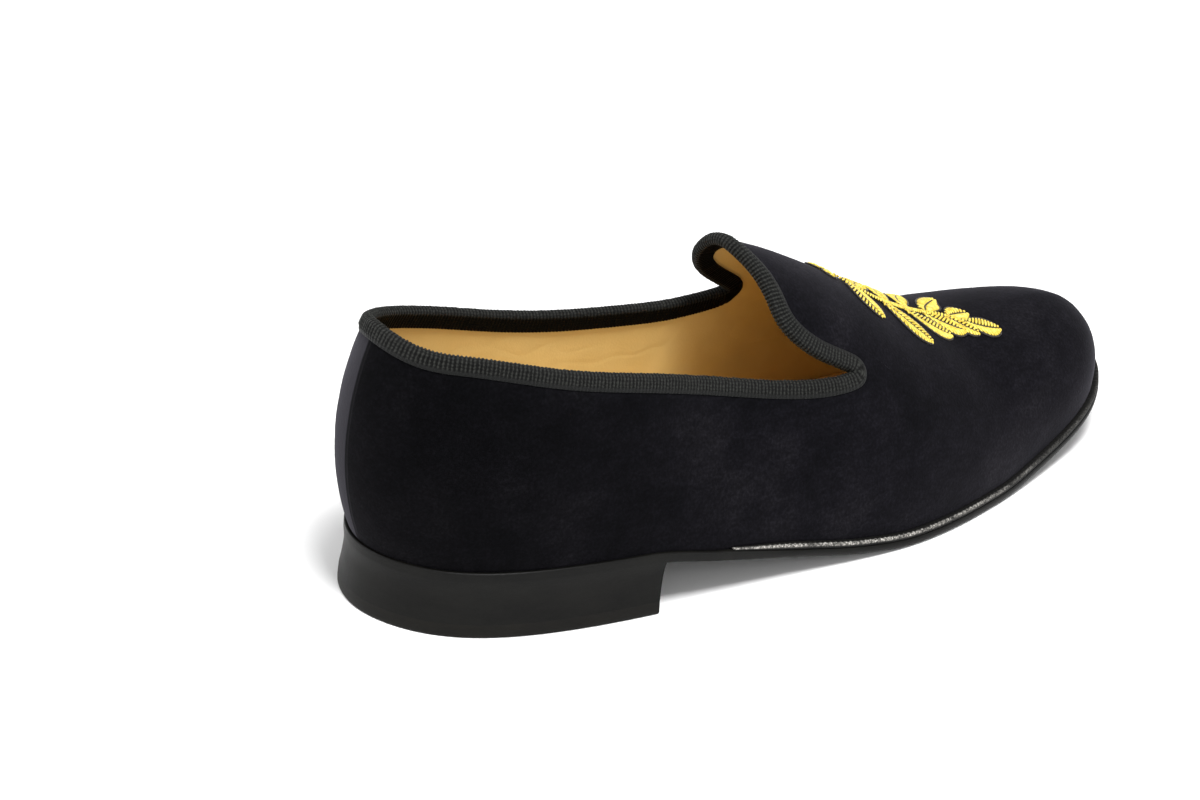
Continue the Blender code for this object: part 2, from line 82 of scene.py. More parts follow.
# Mesh counts, of which SOLE_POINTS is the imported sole's own, and the least angle of a sharp edge
SOLE_POINTS = 116
OUTLINE_SAMPLES = 720
VELVET_COLUMNS = 420
VELVET_ROWS = 56
LINING_COLUMNS = 260
LINING_ROWS = 36
EDGE_ROWS = 4
SOLE_STATIONS = 260
HEEL_STATIONS = 120
SHARP_ANGLE = 38.0

# Side of the heel from the top piece up: share of its height, how far out from the sole in mm
HEEL_SIDE = [
    (0.0, 1.0),
    (0.35, 0.2),
    (0.75, -0.35),
    (1.0, -0.15),
]

# Plan of the outsole, millimetres: name, x, y
OUTLINE = [
    ("heel back", 0.0, 0.0),
    ("heel lateral round", 22.5, 9.5),
    ("heel lateral", 37.0, 32.0),
    ("breast lateral", 45.0, 68.0),
    ("waist lateral", 48.0, 102.0),
    ("joint rear lateral", 50.0, 140.0),
    ("joint lateral", 50.5, 178.0),
    ("fore lateral", 43.0, 213.0),
    ("toe lateral", 32.0, 246.0),
    ("toe lateral round", 18.5, 273.0),
    ("toe tip", -3.0, 285.0),
    ("toe medial round", -24.5, 276.5),
    ("toe medial", -37.5, 254.0),
    ("fore medial", -45.0, 222.0),
    ("joint medial", -46.5, 197.0),
    ("joint rear medial", -39.5, 161.0),
    ("waist medial", -30.0, 120.0),
    ("breast medial", -29.0, 76.0),
    ("heel medial", -29.5, 33.0),
    ("heel medial round", -20.5, 9.0),
]

# Underside of the outsole along the shoe: y in mm, share of heel height, share of toe spring
BOTTOM = [
    (0.0, 1.00, 0.00),
    (30.0, 1.00, 0.00),
    (75.0, 0.96, 0.00),
    (100.0, 0.72, 0.00),
    (130.0, 0.36, 0.00),
    (155.0, 0.10, 0.00),
    (175.0, 0.00, 0.00),
    (215.0, 0.00, 0.00),
    (237.0, 0.00, 0.18),
    (262.0, 0.00, 0.52),
    (285.0, 0.00, 1.00),
]

# Crest of the last from the cone over the heel to the toe, millimetres: name, y, x, z
RIDGE = [
    ("back cone", 24.0, 0.0, 116.0),
    ("mid cone", 70.0, 0.0, 121.0),
    ("instep", 105.0, -1.0, 106.0),
    ("tongue tip", 124.0, -2.0, 95.3),
    ("tongue root", 147.0, -3.0, 84.2),
    ("waist girth", 167.0, -3.5, 73.4),
    ("vamp", 190.0, -4.0, 60.0),
    ("joint girth", 210.0, -4.0, 50.4),
    ("toe box rear", 232.0, -4.0, 47.6),
    ("toe box", 252.0, -3.5, 46.0),
]

# Ribs from the feather line to the crest. y in mm of the rib's foot, then for each side:
# rise (share of height at which the wall turns), bulge (mm outward), crown (share of width)
RIBS = [
    (0.0, 0.50, 18.0, 0.56, 0.50, 18.0, 0.56),
    (10.0, 0.48, 12.0, 0.62, 0.48, 12.0, 0.62),
    (32.0, 0.45, 7.0, 0.55, 0.45, 8.0, 0.58),
    (68.0, 0.43, 0.0, 0.36, 0.45, 6.0, 0.52),
    (102.0, 0.42, -4.0, 0.30, 0.45, 6.0, 0.58),
    (150.0, 0.62, -1.0, 0.45, 0.60, 3.0, 0.60),
    (190.0, 0.56, 1.5, 0.50, 0.58, 1.5, 0.55),
    (235.0, 0.58, 2.0, 0.58, 0.60, 2.0, 0.58),
    (282.0, 0.60, 2.5, 0.60, 0.60, 2.5, 0.60),
]

# Velvet's edge round the opening, millimetres: name, x, y, z, and the y of the foot that it faces
TOPLINE = [
    ("back", 0.0, 6.5, 90.8, 0.0),
    ("back lateral", 14.5, 10.0, 89.2, 6.0),
    ("quarter rear lateral", 24.6, 23.5, 87.4, 24.0),
    ("quarter lateral", 31.2, 50.0, 80.5, 55.0),
    ("quarter middle lateral", 32.6, 75.0, 74.2, 84.0),
    ("quarter fore lateral", 32.2, 101.0, 67.0, 112.0),
    ("notch rear lateral", 34.0, 128.0, 60.0, 142.0),
    ("notch floor lateral", 35.8, 146.5, 57.8, 160.0),
    ("notch lateral", 35.0, 156.0, 58.8, 182.0),
    ("notch upper lateral", 32.3, 150.6, 61.7, 200.0),
    ("tongue root lateral", 29.4, 141.2, 66.9, 217.0),
    ("tongue side lateral", 24.2, 133.8, 75.4, 238.0),
    ("tongue flank lateral", 18.6, 133.0, 82.6, 255.0),
    ("tongue shoulder lateral", 10.6, 132.2, 88.8, 269.0),
    ("tongue tip", -1.0, 128.6, 92.2, 282.0),
    ("tongue shoulder medial", -11.5, 127.8, 88.6, 269.0),
    ("tongue flank medial", -18.0, 128.8, 82.0, 256.0),
    ("tongue side medial", -21.8, 134.0, 74.2, 240.0),
    ("tongue root medial", -25.2, 143.2, 66.6, 217.0),
    ("notch medial", -27.6, 149.5, 60.6, 186.0),
    ("notch floor medial", -27.2, 140.0, 59.8, 154.0),
    ("quarter fore medial", -26.0, 113.5, 62.6, 118.0),
    ("quarter middle medial", -25.6, 84.5, 66.2, 88.0),
    ("quarter medial", -24.6, 57.5, 71.9, 58.0),
    ("quarter rear medial", -20.2, 23.0, 82.4, 24.0),
    ("back medial", -12.0, 9.5, 88.0, 6.0),
]


def unit(vectors):
    return vectors / np.linalg.norm(vectors, axis=-1, keepdims=True)


def smooth_step(start, end, x):
    t = np.clip((np.asarray(x) - start) / (end - start), 0.0, 1.0)
    return t * t * (3.0 - 2.0 * t)


def hermite(t, span, p0, m0, p1, m1):
    """Cubic between two values with given slopes, t from 0 to 1 over the span."""
    return ((1.0 + 2.0 * t) * (1.0 - t) ** 2 * p0 + span * t * (1.0 - t) ** 2 * m0
            + t * t * (3.0 - 2.0 * t) * p1 + span * t * t * (t - 1.0) * m1)


def ease(rows, x):
    """A smooth curve through rows of (x, value) that never overshoots between them."""
    table = np.asarray(rows, float)
    knots, values = table[:, 0], table[:, 1]
    span = np.diff(knots)
    rise = np.diff(values) / span
    slope = np.zeros(len(knots))
    slope[0], slope[-1] = rise[0], rise[-1]
    for i in range(1, len(knots) - 1):
        if rise[i - 1] * rise[i] > 0.0:
            w1 = 2.0 * span[i] + span[i - 1]
            w2 = span[i] + 2.0 * span[i - 1]
            slope[i] = (w1 + w2) / (w1 / rise[i - 1] + w2 / rise[i])
    x = np.clip(np.asarray(x, float), knots[0], knots[-1])
    i = np.clip(np.searchsorted(knots, x, side="right") - 1, 0, len(knots) - 2)
    t = (x - knots[i]) / span[i]
    return hermite(t, span[i], values[i], slope[i], values[i + 1], slope[i + 1])


def closed_spline(points, count):
    """Points along a closed smooth curve through the given ones, count of them."""
    p = np.asarray(points, float)
    size = len(p)
    span = np.linalg.norm(np.roll(p, -1, 0) - p, axis=1) ** 0.5
    system = np.zeros((size, size))
    right = np.zeros_like(p)
    for i in range(size):
        before, after, k = span[i - 1], span[i], (i + 1) % size
        system[i, i - 1] += after
        system[i, i] += 2.0 * (before + after)
        system[i, k] += before
        right[i] = 3.0 * (after / before * (p[i] - p[i - 1]) + before / after * (p[k] - p[i]))
    slope = np.linalg.solve(system, right)
    knots = np.concatenate([[0.0], np.cumsum(span)])
    x = np.linspace(0.0, knots[-1], count, endpoint=False)
    i = np.clip(np.searchsorted(knots, x, side="right") - 1, 0, size - 1)
    k = (i + 1) % size
    t = ((x - knots[i]) / span[i])[:, None]
    return hermite(t, span[i][:, None], p[i], slope[i], p[k], slope[k])


def plan_offset(curve, distance):
    """A closed plan curve moved outward by a distance (or one distance a point)."""
    along = unit(np.roll(curve, -1, 0) - np.roll(curve, 1, 0))
    outward = np.stack([along[:, 1], -along[:, 0]], axis=1)
    return curve + outward * np.broadcast_to(distance, len(curve))[:, None]


def sole_outline():
    return closed_spline([(x * MM, y * MM) for _, x, y in OUTLINE], OUTLINE_SAMPLES)


def sole_bottom(y):
    heel = ease([(a * MM, b) for a, b, _ in BOTTOM], y)
    spring = ease([(a * MM, b) for a, _, b in BOTTOM], y)
    return HEEL_HEIGHT * heel + TOE_SPRING * spring


def sole_top(y):
    return sole_bottom(y) + SOLE_THICK


def foot_height(y):
    """Height of the upper's lower edge: on the sole at the heel, on the welt from the waist."""
    return sole_top(y) + GAP + (WELT_THICK + GAP) * smooth_step(LIFT_START_Y, LIFT_FULL_Y, y)


def welt_height(y):
    """The welt's own height, skived thin where it starts."""
    full = smooth_step(WELT_START_Y, WELT_FULL_Y, y)
    return WELT_THICK * (WELT_SKIVED + (1.0 - WELT_SKIVED) * full)


def margin(y):
    """How far the upper stands in from the sole's edge."""
    return MARGIN_REAR + (MARGIN_FORE - MARGIN_REAR) * smooth_step(LIFT_START_Y, WELT_FULL_Y, y)


def foot_line():
    """The feather line, where the upper's outer face comes down."""
    outline = sole_outline()
    plan = plan_offset(outline, -margin(outline[:, 1]))
    return np.column_stack([plan, foot_height(plan[:, 1])])


class Last:
    """The upper's outer face: ribs that rise from the feather line and meet along a crest.

    A point is read by its spread q, the plan point between a rib's foot and its end on the crest.
    """

    def __init__(self):
        self.foot = foot_line()
        y = self.foot[:, 1]
        share = (y - y.min()) / (y.max() - y.min())
        rows = np.array([row[1:] for row in RIDGE]) * MM
        spine = rows[0, 0] + (rows[-1, 0] - rows[0, 0]) * share
        height = ease(rows[:, [0, 2]], spine)
        step = 0.5 * MM
        ahead, behind = (ease(rows[:, [0, 2]], spine + move) for move in (step, -step))
        self.slope = (ahead - behind) / (2.0 * step)
        self.crest = np.column_stack([ease(rows[:, :2], spine), spine, height])
        table = np.array(RIBS)
        lateral = (np.arange(len(y)) <= np.argmax(y))[:, None]
        feet = table[:, 0] * MM
        sides = [np.column_stack([ease(np.column_stack([feet, table[:, c]]), y) for c in columns])
                 for columns in ((1, 2, 3), (4, 5, 6))]
        self.rib = np.where(lateral, sides[0], sides[1])

    def locate(self, q):
        """Which rib passes through each spread point, and how far up it."""
        foot, crest = self.foot[:, :2], self.crest[:, :2]
        arm = foot - crest
        reach = q[:, None, :] - crest[None]
        side = arm[None, :, 0] * reach[..., 1] - arm[None, :, 1] * reach[..., 0]
        ahead = (arm[None] * reach).sum(-1) > 0.0
        following = np.roll(side, -1, axis=1)
        crossing = (side >= 0.0) & (following < 0.0) & (ahead | np.roll(ahead, -1, axis=1))
        i = crossing.argmax(axis=1)
        row = np.arange(len(q))
        a, b = side[row, i], following[row, i]
        part = np.where(crossing[row, i], a / np.where(a - b == 0.0, 1.0, a - b), 0.0)
        return i, part

    def point(self, q):
        q = np.asarray(q, float)
        i, part = self.locate(q)
        k = (i + 1) % len(self.foot)
        part = part[:, None]
        foot = self.foot[i] * (1.0 - part) + self.foot[k] * part
        crest = self.crest[i] * (1.0 - part) + self.crest[k] * part
        slope = self.slope[i] * (1.0 - part[:, 0]) + self.slope[k] * part[:, 0]
        rise, bulge, crown = (self.rib[i] * (1.0 - part) + self.rib[k] * part).T
        arm = foot[:, :2] - crest[:, :2]
        width = np.linalg.norm(arm, axis=1)
        outward = arm / width[:, None]
        t = 1.0 - ((q - crest[:, :2]) * outward).sum(1) / width
        height = crest[:, 2] - foot[:, 2]
        turn = foot.copy()
        turn[:, :2] += outward * (bulge * MM)[:, None]
        turn[:, 2] += rise * height
        dome = crest.copy()
        dome[:, :2] += outward * (crown * width)[:, None]
        dome[:, 2] += slope * outward[:, 1] * crown * width
        t = t[:, None]
        s = 1.0 - t
        return s ** 3 * foot + 3.0 * s * s * t * turn + 3.0 * s * t * t * dome + t ** 3 * crest

    def frame(self, q, step=0.1 * MM):
        """The point and how it moves with each spread coordinate."""
        east = np.array([step, 0.0])
        north = np.array([0.0, step])
        along_x = (self.point(q + east) - self.point(q - east)) / (2.0 * step)
        along_y = (self.point(q + north) - self.point(q - north)) / (2.0 * step)
        return self.point(q), along_x, along_y

    def normal(self, q):
        _, along_x, along_y = self.frame(q)
        return unit(np.cross(along_x, along_y))

    def nearest(self, target, q, steps=12):
        """Spread points whose surface points lie nearest to the targets."""
        for _ in range(steps):
            here, dx, dy = self.frame(q)
            miss = target - here
            a, b, c = (dx * dx).sum(1), (dx * dy).sum(1), (dy * dy).sum(1)
            u, v = (dx * miss).sum(1), (dy * miss).sum(1)
            det = a * c - b * b + 1e-12
            move = np.column_stack([(c * u - b * v) / det, (a * v - b * u) / det])
            size = np.linalg.norm(move, axis=1, keepdims=True)
            q = q + move * np.minimum(1.0, 5.0 * MM / np.maximum(size, 1e-9))
        return q


def spaced_by_curvature(curve, count):
    """Indices along a closed dense curve, closer together where it turns."""
    along = np.roll(curve, -1, 0) - curve
    length = np.linalg.norm(along, axis=1)
    turn = np.linalg.norm(unit(along) - unit(np.roll(along, 1, 0)), axis=1) / length
    turn = sum(np.roll(turn, k) for k in range(-6, 7)) / 13.0
    weight = length * (1.0 + np.minimum(turn * 12.0 * MM, 1.6))
    total = np.concatenate([[0.0], np.cumsum(weight)])
    places = np.linspace(0.0, total[-1], count, endpoint=False)
    return np.searchsorted(total, places).clip(0, len(curve) - 1)


def topline(last, count):
    """The opening's edge as spread points, and the spread point on the feather line faced by each."""
    table = np.array([row[1:] for row in TOPLINE]) * MM
    guess = table[:, :2] * np.array([0.75, 1.0])
    control = last.nearest(table[:, :3], guess, 40)
    size = 80 * len(TOPLINE)
    edge = last.nearest(closed_spline(last.point(control), size), closed_spline(control, size), 6)
    pick = spaced_by_curvature(last.point(edge), count)

    plan = last.foot[:, :2]
    tip = int(np.argmax(plan[:, 1]))
    lateral = int(np.argmax([row[0] == "tongue tip" for row in TOPLINE]))
    faced = []
    for k, y in enumerate(table[:, 3]):
        up_side = k <= lateral
        stretch = slice(0, tip + 1) if up_side else slice(tip, len(plan))
        nearest = np.argmin(np.abs(plan[stretch, 1] - y))
        faced.append(nearest + (0 if up_side else tip))
    faced[0] = 0
    faced = np.array(faced + [len(plan)], float)
    knots = np.arange(len(TOPLINE) + 1) * (size / len(TOPLINE))
    place = ease(np.column_stack([knots, faced]), pick)
    low = np.floor(place).astype(int)
    part = (place - low)[:, None]
    feet = plan[low % len(plan)] * (1.0 - part) + plan[(low + 1) % len(plan)] * part
    return edge[pick], feet


def band_rows(last, edge, widths):
    """Rows of spread points that run beside the opening's edge at the given widths."""
    rows = [edge]
    q = edge
    done = 0.0
    for width in widths[1:]:
        pieces = max(1, int(np.ceil((width - done) / (1.0 * MM))))
        step = (width - done) / pieces
        for _ in range(pieces):
            here = last.point(q)
            along = unit(np.roll(here, -1, 0) - np.roll(here, 1, 0))
            away = unit(np.cross(along, last.normal(q)))
            q = last.nearest(here + away * step, q, 4)
            q = q + 0.25 * (0.5 * (np.roll(q, 1, 0) + np.roll(q, -1, 0)) - q)
        done = width
        rows.append(q)
    return rows


def upper_grid(last, columns, rows):
    """Rows of spread points from the opening's edge to the feather line, EDGE_ROWS under the ribbon."""
    edge, feet = topline(last, columns)
    top_rows = band_rows(last, edge, np.linspace(0.0, BINDING_OUT, EDGE_ROWS + 1))
    start = top_rows[-1]
    reach = feet - start
    length = np.linalg.norm(reach, axis=1)[:, None]
    leave = unit(start - top_rows[-2]) * np.minimum(LEAVE_SHARE * length, LEAVE_MOST)
    k = 1.0 - np.linspace(1.0, 0.0, rows + 1)[:, None, None] ** ROW_CROWDING
    lower = hermite(k, 1.0, start, leave, feet, reach)
    return np.array(top_rows[:-1] + list(lower))


def plate_loop(curve, stations, front=None):
    """Points of a closed plan curve in pairs across the shoe, lateral side first.

    With a front given, the plan is cut straight there and the last pair is its corner points.
    """
    back = int(np.argmin(curve[:, 1]))
    curve = np.roll(curve, -back, axis=0)
    tip = int(np.argmax(curve[:, 1]))
    lateral = curve[:tip + 1]
    medial = np.vstack([curve[tip:], curve[:1]])[::-1]
    start, end = curve[0, 1], curve[tip, 1]
    turn = np.linspace(0.0, 1.0, stations + 1)
    if front is None:
        y = start + (end - start) * 0.5 * (1.0 - np.cos(np.pi * turn))
    else:
        y = start + (front - start) * (1.0 - np.cos(0.5 * np.pi * turn))
    right = np.column_stack([np.interp(y, lateral[:, 1], lateral[:, 0]), y])
    left = np.column_stack([np.interp(y, medial[:, 1], medial[:, 0]), y])
    last = stations if front is None else stations + 1
    return np.vstack([right, left[1:last][::-1]])


def ring_faces(count, size, closed=True):
    """Quads between count rings of size points; when closed, the last ring joins the first."""
    r, c = np.meshgrid(np.arange(count if closed else count - 1), np.arange(size), indexing="ij")
    n, k = (r + 1) % count, (c + 1) % size
    quads = np.stack([r * size + c, n * size + c, n * size + k, r * size + k], axis=-1)
    return quads.reshape(-1, 4)


def plate(loops):
    """A closed slab from loops of points, bottom one first; its flat ends join the pairs across."""
    rings = np.asarray(loops)
    count, size, _ = rings.shape
    faces = ring_faces(count, size, False).tolist()
    top = (count - 1) * size
    for k in range(size // 2):
        a, b = k, k + 1
        c, d = (size - b) % size, (size - a) % size
        corners = [a, b]
        corners += [v for v in (c, d) if v not in corners]
        faces.append(tuple(corners))
        faces.append(tuple(top + v for v in corners[::-1]))
    return rings.reshape(-1, 3), faces


def triangles(vertices, faces):
    """The faces cut into triangles, each four-sided one along its shorter diagonal."""
    cut = []
    for face in faces:
        if len(face) == 4:
            a, b, c, d = face
            if np.linalg.norm(vertices[a] - vertices[c]) <= np.linalg.norm(vertices[b] - vertices[d]):
                cut += [(a, b, c), (a, c, d)]
            else:
                cut += [(a, b, d), (b, c, d)]
        else:
            cut += [(face[0], face[k], face[k + 1]) for k in range(1, len(face) - 1)]
    return outward(vertices, np.array(cut))


def outward(vertices, faces):
    """The faces turned so that a closed body's volume is positive."""
    corner = vertices[faces]
    volume = 0.0
    for k in range(1, faces.shape[1] - 1):
        volume += np.einsum("ij,ij->i", corner[:, 0], np.cross(corner[:, k], corner[:, k + 1])).sum()
    return faces if volume > 0.0 else faces[:, ::-1]


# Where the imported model's origin lies in the last's frame
ANCHOR = plate_loop(sole_outline(), SOLE_POINTS // 2).min(axis=0) - np.array(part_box("outsole")[0])[:2]
ORIGIN = np.array([ANCHOR[0], ANCHOR[1], 0.0])


def mesh_piece(name, vertices, faces, uv=None):
    """A smooth mesh object in the row frame, with UVs given by vertex."""
    mesh = bpy.data.meshes.new(name)
    mesh.from_pydata((vertices - ORIGIN).tolist(), [], [tuple(int(v) for v in face) for face in faces])
    mesh.validate()
    if uv is not None:
        layer = mesh.uv_layers.new(name="surface")
        loops = np.empty(len(mesh.loops), int)
        mesh.loops.foreach_get("vertex_index", loops)
        layer.data.foreach_set("uv", np.asarray(uv, np.float32)[loops].ravel())
    mesh.polygons.foreach_set("use_smooth", [True] * len(mesh.polygons))
    piece = bpy.data.objects.new(name, mesh)
    bpy.context.scene.collection.objects.link(piece)
    return piece


def ring_piece(name, rings, uv=None):
    """A closed body from rings of points, the last one joined to the first."""
    vertices = rings.reshape(-1, 3)
    return mesh_piece(name, vertices, outward(vertices, ring_faces(len(rings), rings.shape[1])), uv)


def plate_piece(name, loops):
    vertices, faces = plate(loops)
    piece = mesh_piece(name, vertices, triangles(vertices, faces))
    piece.data.set_sharp_from_angle(angle=math.radians(SHARP_ANGLE))
    return piece


def loop_at(line, out, height, stations, front=None):
    """One loop of a plate: the plan line moved outward, cut at the front, at a height for each y."""
    plan = plate_loop(plan_offset(line, out), stations, front)
    return np.column_stack([plan, height(plan[:, 1])])


def pairs(first, second):
    """Every value of the first with every value of the second, as rows."""
    return np.stack(np.meshgrid(first, second, indexing="ij"), axis=-1).reshape(-1, 2)


def waves(points, size, seed, count=5):
    """A soft, repeatable unevenness from -1 to 1 over points, with humps of about the size given."""
    rng = np.random.default_rng(seed)
    total = np.zeros(len(points))
    for _ in range(count):
        turn = rng.normal(size=3)
        turn /= np.linalg.norm(turn)
        rate = 2.0 * math.pi / (size * rng.uniform(0.7, 1.5))
        total += np.sin(points @ turn * rate + rng.uniform(0.0, 2.0 * math.pi))
    return total / count


def surface(last, spread):
    """Outer points and normals of the last over a grid of spread points."""
    parts = np.array_split(spread.reshape(-1, 2), 12)
    shape = spread.shape[:2] + (3,)
    points = np.vstack([last.point(part) for part in parts])
    normals = np.vstack([last.normal(part) for part in parts])
    return points.reshape(shape), normals.reshape(shape)


# Velvet face of the upper, turned under along the sole
VELVET_THICK = 1.1 * MM
VELVET_TUCK = 1.8 * MM
TURN_IN = 0.25 * MM
TURN_DOWN = 0.22 * MM
FOOT_GAP = 0.2 * MM
WELT_STEP = 1.0 * MM

# Its unevenness: depth, size and seed of each set of waves, and its share in the lowest rows
VELVET_SWELLS = [
    (0.16 * MM, 34.0 * MM, 3),
    (0.07 * MM, 11.0 * MM, 8),
]
FOOT_SHARES = (0.6, 0.3, 0.0)


def velvet_rings(last, spread):
    """Rings down the velvet's outer face, round its lower edge and up its inner face."""
    skin, away = surface(last, spread)
    foot_y = skin[-1, :, 1]
    on_welt = smooth_step(WELT_START_Y - WELT_STEP, WELT_START_Y + WELT_STEP, foot_y)
    seat = sole_top(foot_y) + (welt_height(foot_y) + FOOT_GAP) * on_welt + FOOT_GAP
    skin[-1, :, 2] = np.minimum(foot_height(foot_y), seat)
    flat = skin.reshape(-1, 3)
    uneven = sum(depth * waves(flat, size, seed) for depth, size, seed in VELVET_SWELLS)
    hold = np.ones(len(skin))
    hold[:EDGE_ROWS + 1] = 0.0
    hold[-len(FOOT_SHARES):] = FOOT_SHARES
    skin = skin + away * (uneven.reshape(skin.shape[:2]) * hold[:, None])[..., None]
    under = skin - away * VELVET_THICK
    level = unit(away[-1] * np.array([1.0, 1.0, 0.0]))
    under[-1] = skin[-1] - level * VELVET_TUCK
    down = np.array([0.0, 0.0, TURN_DOWN])
    turned_in = np.stack([skin[-1] - level * TURN_IN - down, under[-1] - down])
    return np.concatenate([skin, turned_in, under[::-1]])


# Tan lining inside it
LINING_START = VELVET_THICK + 0.05 * MM
LINING_FOOT = 1.85 * MM
RIPPLE = 0.20 * MM
RIPPLE_SIZE = 26.0 * MM
RIPPLE_SEED = 21


def lining_rings(last, spread):
    """Rings down the lining's hidden face and up the one that shows."""
    outer, away = surface(last, spread)
    ripple = RIPPLE * waves(outer.reshape(-1, 3), RIPPLE_SIZE, RIPPLE_SEED)
    hidden = outer - away * LINING_START
    shown = outer - away * (WALL + ripple.reshape(outer.shape[:2])[..., None])
    level = unit(away[-1] * np.array([1.0, 1.0, 0.0]))
    for face, inset in ((hidden, LINING_FOOT), (shown, WALL)):
        face[-1] = outer[-1] - level * inset
        face[-1, :, 2] = foot_height(outer[-1, :, 1])
    return np.concatenate([hidden, shown[::-1]])


# Ribbed ribbon folded over the edge
RIB_PITCH = 1.25 * MM
RIB_STEPS = 6
RIB_DEPTH = 0.34 * MM
RIB_SEED = 5
ROW_PITCH = 1.05
RIBBON_ROWS = np.array([0.0, 0.7, 1.5, 2.6, 3.7, 4.5, 5.1, 5.8]) / 5.8 * BINDING_OUT
FOLD_ANGLES = np.radians((20.0, 45.0, 68.0, 90.0, 112.0, 135.0, 160.0))
FOLD_RADIUS = 1.25 * MM
FOLD_REACH = 0.95 * MM
RIBBON_GAP = 0.1 * MM
RIBBON_BODY = 0.55 * MM
RIBBON_FULLNESS = 0.2 * MM
RIBBON_EDGE_ROUND = 0.35 * MM
EDGE_WIDTH = 0.8 * MM
SELVEDGE_FROM = 1.6 * MM
SELVEDGE_FULL = 1.1 * MM
RIBBON_INNER = 0.75 * MM
RIBBON_INNER_GAP = 0.12 * MM
FOLD_GAP = 0.15 * MM


def ribbed_edge(last, points, spread):
    """The opening's edge sampled evenly, RIB_STEPS to a rib: spread points, places, length, ribs."""
    closed = np.vstack([points, points[:1]])
    place = np.concatenate([[0.0], np.cumsum(np.linalg.norm(np.diff(closed, axis=0), axis=1))])
    length = place[-1]
    ribs = int(round(length / RIB_PITCH))
    at = np.linspace(0.0, length, ribs * RIB_STEPS, endpoint=False)
    looped = np.vstack([spread, spread[:1]])
    q = np.column_stack([np.interp(at, place, looped[:, i]) for i in range(2)])
    return last.nearest(last.point(q), q, 3), at, length, ribs


def ribbon_rings(last, edge, phase, ribs):
    """Rings across the ribbon: up its outer side, over the fold, down its inner side and back."""
    rows = band_rows(last, edge, RIBBON_ROWS)
    points = np.array([last.point(q) for q in rows])
    away = np.array([last.normal(q) for q in rows])
    top, top_away = points[0], away[0]
    along = unit(np.roll(top, -1, 0) - np.roll(top, 1, 0))
    lift = -unit(np.cross(along, top_away))
    strength = np.repeat(np.random.default_rng(RIB_SEED).uniform(0.7, 1.15, ribs), RIB_STEPS)
    rib = (0.5 + 0.5 * np.cos(phase)) ** 0.8 * strength
    rings = []
    for point, normal, width in zip(points[::-1], away[::-1], RIBBON_ROWS[::-1]):
        selvedge = smooth_step(BINDING_OUT - SELVEDGE_FROM, BINDING_OUT - SELVEDGE_FULL, width)
        round_in = RIBBON_EDGE_ROUND * smooth_step(BINDING_OUT - EDGE_WIDTH, BINDING_OUT, width)
        swell = RIB_DEPTH * rib * (1.0 - 0.9 * selvedge)
        depth = RIBBON_GAP + RIBBON_BODY + RIBBON_FULLNESS * (1.0 - selvedge) + swell - round_in
        rings.append(point + normal * depth[:, None])
    for angle in FOLD_ANGLES:
        up = math.sin(angle) * (FOLD_RADIUS + 1.25 * RIB_DEPTH * rib)
        out = math.cos(angle) * (0.5 * WALL + FOLD_REACH) - 0.5 * WALL
        rings.append(top + lift * up[:, None] + top_away * out)
    inner = top + BINDING_IN / BINDING_OUT * (points - top)
    inner_depth = WALL + RIBBON_INNER + 0.6 * RIB_DEPTH * rib
    rings += [place - normal * inner_depth[:, None] for place, normal in zip(inner, away)]
    rings.append(inner[-1] - away[-1] * (WALL + RIBBON_INNER_GAP))
    rings.append(top - top_away * (WALL + RIBBON_INNER_GAP))
    rings.append(top + lift * FOLD_GAP - top_away * 0.5 * WALL)
    rings.append(top + top_away * RIBBON_GAP)
    rings.append(points[-1] + away[-1] * RIBBON_GAP)
    return np.array(rings)


# Sole, its edge square at the heel and thin at the toe: inset and rise in mm at the rear and the fore
SOLE_PROFILE = [
    (0.20, 0.00, 1.60, 0.00),
    (0.02, 0.02, 0.80, 0.22),
    (0.00, 0.20, 0.35, 0.60),
    (0.00, 0.70, 0.08, 1.20),
    (0.00, 1.60, 0.00, 1.90),
    (0.00, 2.50, 0.05, 2.55),
    (0.05, 2.95, 0.25, 2.95),
    (0.30, 3.20, 0.80, 3.20),
]
FORE_START_Y = 100.0 * MM
FORE_FULL_Y = 135.0 * MM


def sole_loop(outline, rear_inset, rear_rise, fore_inset, fore_rise):
    def blend(rear, fore, y):
        return (rear + (fore - rear) * smooth_step(FORE_START_Y, FORE_FULL_Y, y)) * MM

    def height(y):
        return sole_bottom(y) + blend(rear_rise, fore_rise, y)

    return loop_at(outline, -blend(rear_inset, fore_inset, outline[:, 1]), height, SOLE_STATIONS)


# Heel block, sunk a little into the sole and the top piece
HEEL_STEPS = 13
HEEL_OVERLAP = 0.05 * MM
HEEL_TOP_SWELL = 0.13


def heel_loop(outline, share):
    low = TOP_PIECE_THICK - HEEL_OVERLAP
    out = (float(ease(HEEL_SIDE, share)) + HEEL_TOP_SWELL * share ** 3) * MM

    def height(y):
        return low + share * (sole_bottom(y) + HEEL_OVERLAP - low)

    return loop_at(outline, out, height, HEEL_STATIONS, BREAST_Y - BREAST_LEAN * (1.0 - share))


# Side of the top piece in mm: how far out from the sole, height, how far the front stands back
TOP_PIECE_SIDE = [
    (0.45, 0.0, 0.6),
    (0.95, 0.12, 0.2),
    (1.17, 0.50, 0.02),
    (1.20, 1.20, 0.0),
    (1.10, 3.00, 0.0),
    (1.00, 4.40, 0.0),
    (1.00, 4.50, 0.0),
]


def top_piece_loop(outline, out, rise, back_by):
    def height(y):
        return np.full(len(y), rise * MM)

    return loop_at(outline, out * MM, height, HEEL_STATIONS, BREAST_Y - BREAST_LEAN - back_by * MM)


